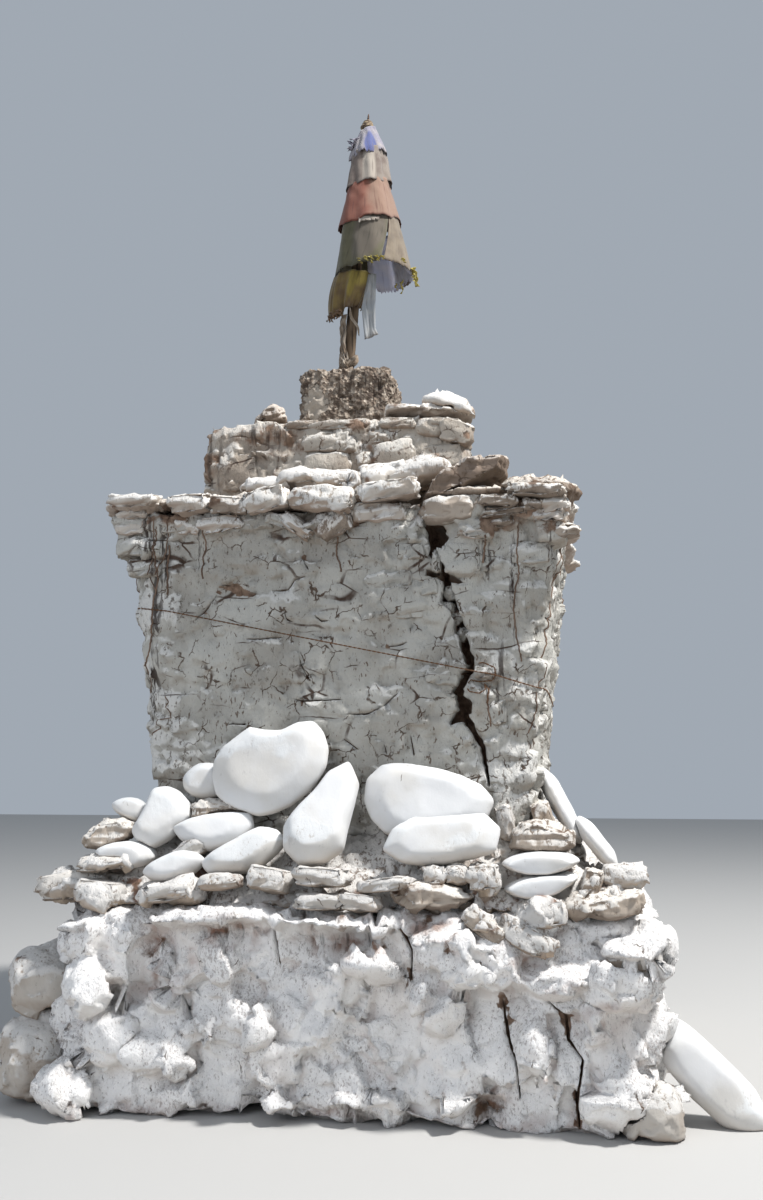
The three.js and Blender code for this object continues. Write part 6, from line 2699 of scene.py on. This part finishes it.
@dataclass
class Binding:
    """The twine pulled tight round the shaft, with its knot."""

    thickness: float = 0.008
    heights: tuple[tuple[float, float], ...] = (
        (-1.05, 2.505), (0.675, 2.05), (0.8, 1.99), (1.12, 1.975),
    )
    turns: tuple[tuple[float, float], ...] = (
        (0.655, 2.058), (0.701, 2.078), (0.726, 2.108), (0.776, 2.112), (0.83, 2.086),
        (0.834, 2.047), (0.814, 2.022), (0.754, 2.018), (0.71, 2.028), (0.684, 1.999),
        (0.704, 1.969), (0.753, 1.959), (0.783, 1.978), (0.779, 2.008), (0.798, 1.978),
        (0.792, 1.929), (0.787, 1.899),
    )
    axis_x: float = 0.02
    reach: float = 1.1
    shots: int = 160
    pitch: float = 0.05
    steps_per_turn: int = 7
    # Where the knot hangs clear of the wall, it lies as far out as the stone below it.
    stone_y: float = -1.07

    def _hull(self, points: list[Vector]) -> list[Vector]:
        """Keeps the points that a loop pulled tight in plan would touch.

        Args:
            points: Points round the shaft.

        Returns:
            The points of the tight loop, in order.
        """
        def chain(row: list[Vector]) -> list[Vector]:
            """Walks one side of the loop.

            Args:
                row: The points in order of their place across.

            Returns:
                The points that are touched.
            """
            kept: list[Vector] = []
            for point in row:
                while len(kept) > 1 and (
                    (kept[-1].x - kept[-2].x) * (point.y - kept[-2].y)
                    - (kept[-1].y - kept[-2].y) * (point.x - kept[-2].x)
                ) <= 0:
                    kept.pop()
                kept.append(point)
            return kept[:-1]

        row = sorted(points, key=lambda p: (p.x, p.y))
        return chain(row) + chain(row[::-1])

    def _strands(self, name: str, line: list[Vector], closed: bool) -> bpy.types.Object:
        """Twists strands along a line.

        Args:
            name: The twine's name.
            line: The points that it follows.
            closed: Whether it runs back to its start.

        Returns:
            The twine as a mesh.
        """
        spans = list(zip(line, line[1:] + line[:1])) if closed else list(zip(line, line[1:]))
        strands = []
        for strand in range(2):
            travelled = 0.0
            places: list[Vector] = []
            for start, stop in spans:
                along = (stop - start).normalized()
                side = along.cross(Vector((0, 0, 1))).normalized()
                steps = max(1, round((stop - start).length / (self.pitch / self.steps_per_turn)))
                for step in range(steps):
                    here = start.lerp(stop, step / steps)
                    turn = 2 * math.pi * (travelled + (here - start).length) / self.pitch
                    turn += math.pi * strand
                    away = side * math.cos(turn) + side.cross(along) * math.sin(turn)
                    places.append(here + away * (self.thickness / 4))
                travelled += (stop - start).length
            strands.append(thread_along(name, places, self.thickness / 4, closed))
        return as_mesh(name, strands)

    def build(self) -> None:
        """Pulls the twine round the dressed shaft and ties its knot."""
        wall = surface_of(bpy.data.objects["shaft_plaster"])
        touched = []
        for shot in range(self.shots):
            turn = 2 * math.pi * shot / self.shots
            aim = Vector((math.sin(turn), -math.cos(turn), 0))
            height = float(np.interp(self.axis_x + self.reach * aim.x, *zip(*self.heights)))
            start = Vector((self.axis_x + OUTSIDE * aim.x, OUTSIDE * aim.y, height))
            hit = wall.ray_cast(start, -aim)[0]
            if hit:
                touched.append(hit + aim * self.thickness * 0.5)
        loop = self._hull(touched)
        twine = self._strands("binding_twine", loop, True)
        dress(twine, HEMP_TWINE, ("binding_rope",))
        self._tie(wall)

    def _tie(self, wall: BVHTree) -> None:
        """Ties the knot and lets its slack turns lie on the stone below.

        Args:
            wall: The faces of the shaft.
        """
        route = []
        for (x, z), (next_x, next_z) in zip(self.turns, self.turns[1:]):
            for step in range(5):
                share = step / 5
                route.append((x + (next_x - x) * share, z + (next_z - z) * share))
        depths = []
        for x, z in route:
            hit = wall.ray_cast(Vector((x, -OUTSIDE, z)), Vector((0, 1, 0)))[0]
            depths.append(hit.y if hit else self.stone_y)
        line = []
        for index, (x, z) in enumerate(route):
            near = depths[max(0, index - 2) : index + 3]
            line.append(Vector((x, (min(near) + sum(near) / len(near)) / 2 - 0.008, z)))
        knot = self._strands("twine_knot", line, False)
        dress(knot, HEMP_TWINE, ("rope_knot",))


@dataclass
class Rubble:
    """The small stones that fill the rim under the heap.

    In front they are laid one by one. Along the other sides the same stones are laid again.
    """

    front: tuple[tuple[StoneShape, Point, Point, float, float], ...] = (
        (SLAB, (-1.28, -1.12, 1.01), (0.36, 0.42, 0.15), 8, 4),
        (SLAB, (-1.10, -1.22, 1.13), (0.30, 0.30, 0.08), 4, 0),
        (BLOCK, (-1.09, -1.30, 0.99), (0.24, 0.24, 0.13), -6, 6),
        (SLAB, (-0.72, -1.36, 1.00), (0.28, 0.22, 0.09), 6, 8),
        (BOULDER, (-0.47, -1.37, 1.06), (0.22, 0.18, 0.08), 4, 6),
        (BLOCK, (-0.22, -1.38, 1.07), (0.22, 0.20, 0.12), -8, 10),
        (BLOCK, (0.03, -1.38, 1.09), (0.28, 0.22, 0.10), -2, 6),
        (SLAB, (0.02, -1.42, 0.98), (0.26, 0.16, 0.09), 0, 8),
        (SLAB, (0.33, -1.38, 1.06), (0.28, 0.20, 0.07), 8, 4),
        (BLOCK, (0.22, -1.42, 0.98), (0.20, 0.16, 0.09), -4, 8),
        (BLOCK, (0.55, -1.30, 1.10), (0.11, 0.16, 0.10), 0, 6),
        (BOULDER, (0.65, -1.31, 1.10), (0.11, 0.14, 0.10), 0, 6),
        (BLOCK, (0.78, -1.32, 1.09), (0.17, 0.18, 0.13), 6, 8),
        (BLOCK, (1.05, -1.35, 0.94), (0.23, 0.22, 0.14), 6, 4),
        (BLOCK, (1.27, -1.26, 1.06), (0.10, 0.16, 0.16), -14, 0),
        (BOULDER, (1.42, -1.18, 1.09), (0.22, 0.22, 0.11), -4, 0),
        (SLAB, (1.40, -1.20, 1.00), (0.24, 0.24, 0.07), -30, 0),
        (SLAB, (0.98, -1.40, 0.83), (0.26, 0.16, 0.12), -24, 10),
        (SLAB, (0.79, -1.41, 0.88), (0.22, 0.14, 0.10), -34, 6),
        (BOULDER, (1.45, -1.36, 0.77), (0.26, 0.24, 0.13), -6, 0),
        (SLAB, (0.87, -1.02, 1.33), (0.10, 0.14, 0.20), 10, 0),
        (SLAB, (1.05, -0.95, 1.36), (0.10, 0.20, 0.16), 20, 0),
        (BLOCK, (-0.06, -1.16, 1.25), (0.10, 0.10, 0.20), 12, 0),
        (SLAB, (-0.66, -1.22, 1.20), (0.20, 0.16, 0.10), 30, 0),
    )
    bare: tuple[int, ...] = (0, 1, 14, 16, 18, 21)
    sides: tuple[tuple[float, float, Point, float], ...] = (
        (-0.86, 0.075, (0.3, 0.25, 0.13), 6), (-0.58, 0.08, (0.4, 0.26, 0.16), 8),
        (-0.22, 0.07, (0.46, 0.27, 0.15), -6), (0.14, 0.08, (0.33, 0.25, 0.12), 4),
        (0.46, 0.085, (0.42, 0.26, 0.17), 9), (0.8, 0.075, (0.38, 0.25, 0.13), -6),
        (-0.42, 0.2, (0.42, 0.2, 0.15), -7), (0.02, 0.215, (0.48, 0.2, 0.18), 8),
        (0.42, 0.215, (0.36, 0.19, 0.14), -4), (-0.1, 0.32, (0.3, 0.16, 0.11), 3),
    )
    foot: tuple[float, float, float] = (-1.19, 1.44, 1.33)
    top: tuple[float, float, float] = (-1.01, 1.05, 1.03)
    height: float = 0.35
    sunk: float = 0.045

    def _round(self) -> list[bpy.types.Object]:
        """Lays the same stones along the left, the back and the right.

        Returns:
            The stones.
        """
        stones = []
        for face in (Side.RIGHT, Side.BACK, Side.LEFT):
            for index, (along, rise, size, tip) in enumerate(self.sides):
                share = rise / self.height
                left, right, back = (a + (b - a) * share for a, b in zip(self.foot, self.top))
                z = LEDGE_Z + rise
                at = {
                    Side.LEFT: (left + self.sunk, along * back, z),
                    Side.RIGHT: (right - self.sunk, along * back, z),
                    Side.BACK: (
                        (left + right) / 2 - along * (right - left) / 2, back - self.sunk, z
                    ),
                }[face]
                shape = (BLOCK, BOULDER, SLAB)[index % 3]
                stones.append(QUARRY.lay(shape, index, size, at, tip, 6, face.value + tip))
        return stones

    def build(self) -> None:
        """Lays every small stone and dresses them in two lots."""
        limed, bare = [], []
        for index, (shape, at, size, tilt, lean) in enumerate(self.front):
            stone = QUARRY.lay(shape, index, size, at, tilt, lean)
            (bare if index in self.bare else limed).append(stone)
        for index, stone in enumerate(self._round()):
            (bare if index % 4 == 0 else limed).append(stone)
        for name, finish, slot, stones in (
            ("rim_stones_limed", DUSTY_COAT, "whitewashed_stone", limed),
            ("rim_stones_bare", WORN_SLATE, "bare_stone", bare),
        ):
            for index, stone in enumerate(stones):
                raise_relief(stone, Relief(grain=(0.05, 0.0012), swell=(0.2, 0.006), seed=index))
            dress(joined(name, stones), finish)


@dataclass
class Studio:
    """The camera at the photograph's angle, a plain pale floor and plain soft light."""

    eye: Point = (1.15, -6.70, 1.60)
    tilt: float = 98.4
    turn: float = 9.0
    lens: float = 33.9
    floor_size: float = 60.0
    floor_colour: str = "B2B1AF"
    sky_colour: str = "C6D0DC"
    sky_strength: float = 0.63
    middle: Point = (0.1, 0.0, 2.2)

    def _lamp(self, name: str, at: Point, size: float, power: float, colour: str) -> None:
        """Hangs one square lamp that faces the stupa's middle.

        Args:
            name: The lamp's name.
            at: Where it hangs.
            size: The length of its side.
            power: Its power in watts.
            colour: Its colour.
        """
        light = bpy.data.lights.new(name, "AREA")
        light.shape, light.size, light.energy = "SQUARE", size, power
        light.color = linear(colour)[:3]
        lamp = bpy.data.objects.new(name, light)
        lamp.location = at
        aim = Vector(self.middle) - Vector(at)
        lamp.rotation_euler = aim.to_track_quat("-Z", "Y").to_euler()
        bpy.context.scene.collection.objects.link(lamp)

    def build(self) -> None:
        """Sets the camera, the lamps, the world's fill and the floor."""
        lens = bpy.data.cameras.new("camera")
        lens.lens, lens.sensor_width, lens.clip_end = self.lens, 36.0, 200.0
        camera = bpy.data.objects.new("camera", lens)
        camera.location = self.eye
        camera.rotation_euler = (math.radians(self.tilt), 0, math.radians(self.turn))
        bpy.context.scene.collection.objects.link(camera)
        bpy.context.scene.camera = camera
        self._lamp("key_lamp", (8.1, -3.2, 15.5), 1.6, 4400, "FFFDFA")
        self._lamp("fill_lamp", (-5.0, -11.0, 6.0), 8.0, 380, "EEF4FF")
        world = bpy.data.worlds.new("plain_studio")
        world.use_nodes = True
        sky = world.node_tree.nodes["Background"]
        sky.inputs["Color"].default_value = linear(self.sky_colour)
        sky.inputs["Strength"].default_value = self.sky_strength
        bpy.context.scene.world = world
        bpy.context.scene.view_settings.view_transform = "Standard"
        deselect()
        bpy.ops.mesh.primitive_plane_add(size=self.floor_size)
        floor = bpy.context.object
        floor.name = "studio_floor"
        paper = bpy.data.materials.new("pale_floor_paint")
        paper.use_nodes = True
        coat = paper.node_tree.nodes["Principled BSDF"]
        coat.inputs["Base Color"].default_value = linear(self.floor_colour)
        coat.inputs["Roughness"].default_value = 0.9
        floor.data.materials.append(paper)


def main() -> None:
    """Builds the studio and every piece of the stupa, in order."""
    logging.basicConfig(level=logging.INFO, format="%(name)s %(message)s")
    builders: list[Callable[[], Any]] = [
        Studio().build,
        Plinth().build,
        Shaft().build,
        UpperTier().build,
        LedgeBank().build,
        Heap().build,
        Eaves().build,
        Rubble().build,
        CrownBlock().build,
        FlagPole().build,
        Flags().build,
        MudRuns().build,
        Binding().build,
    ]
    for build in builders:
        build()


if __name__ == "__main__":
    main()
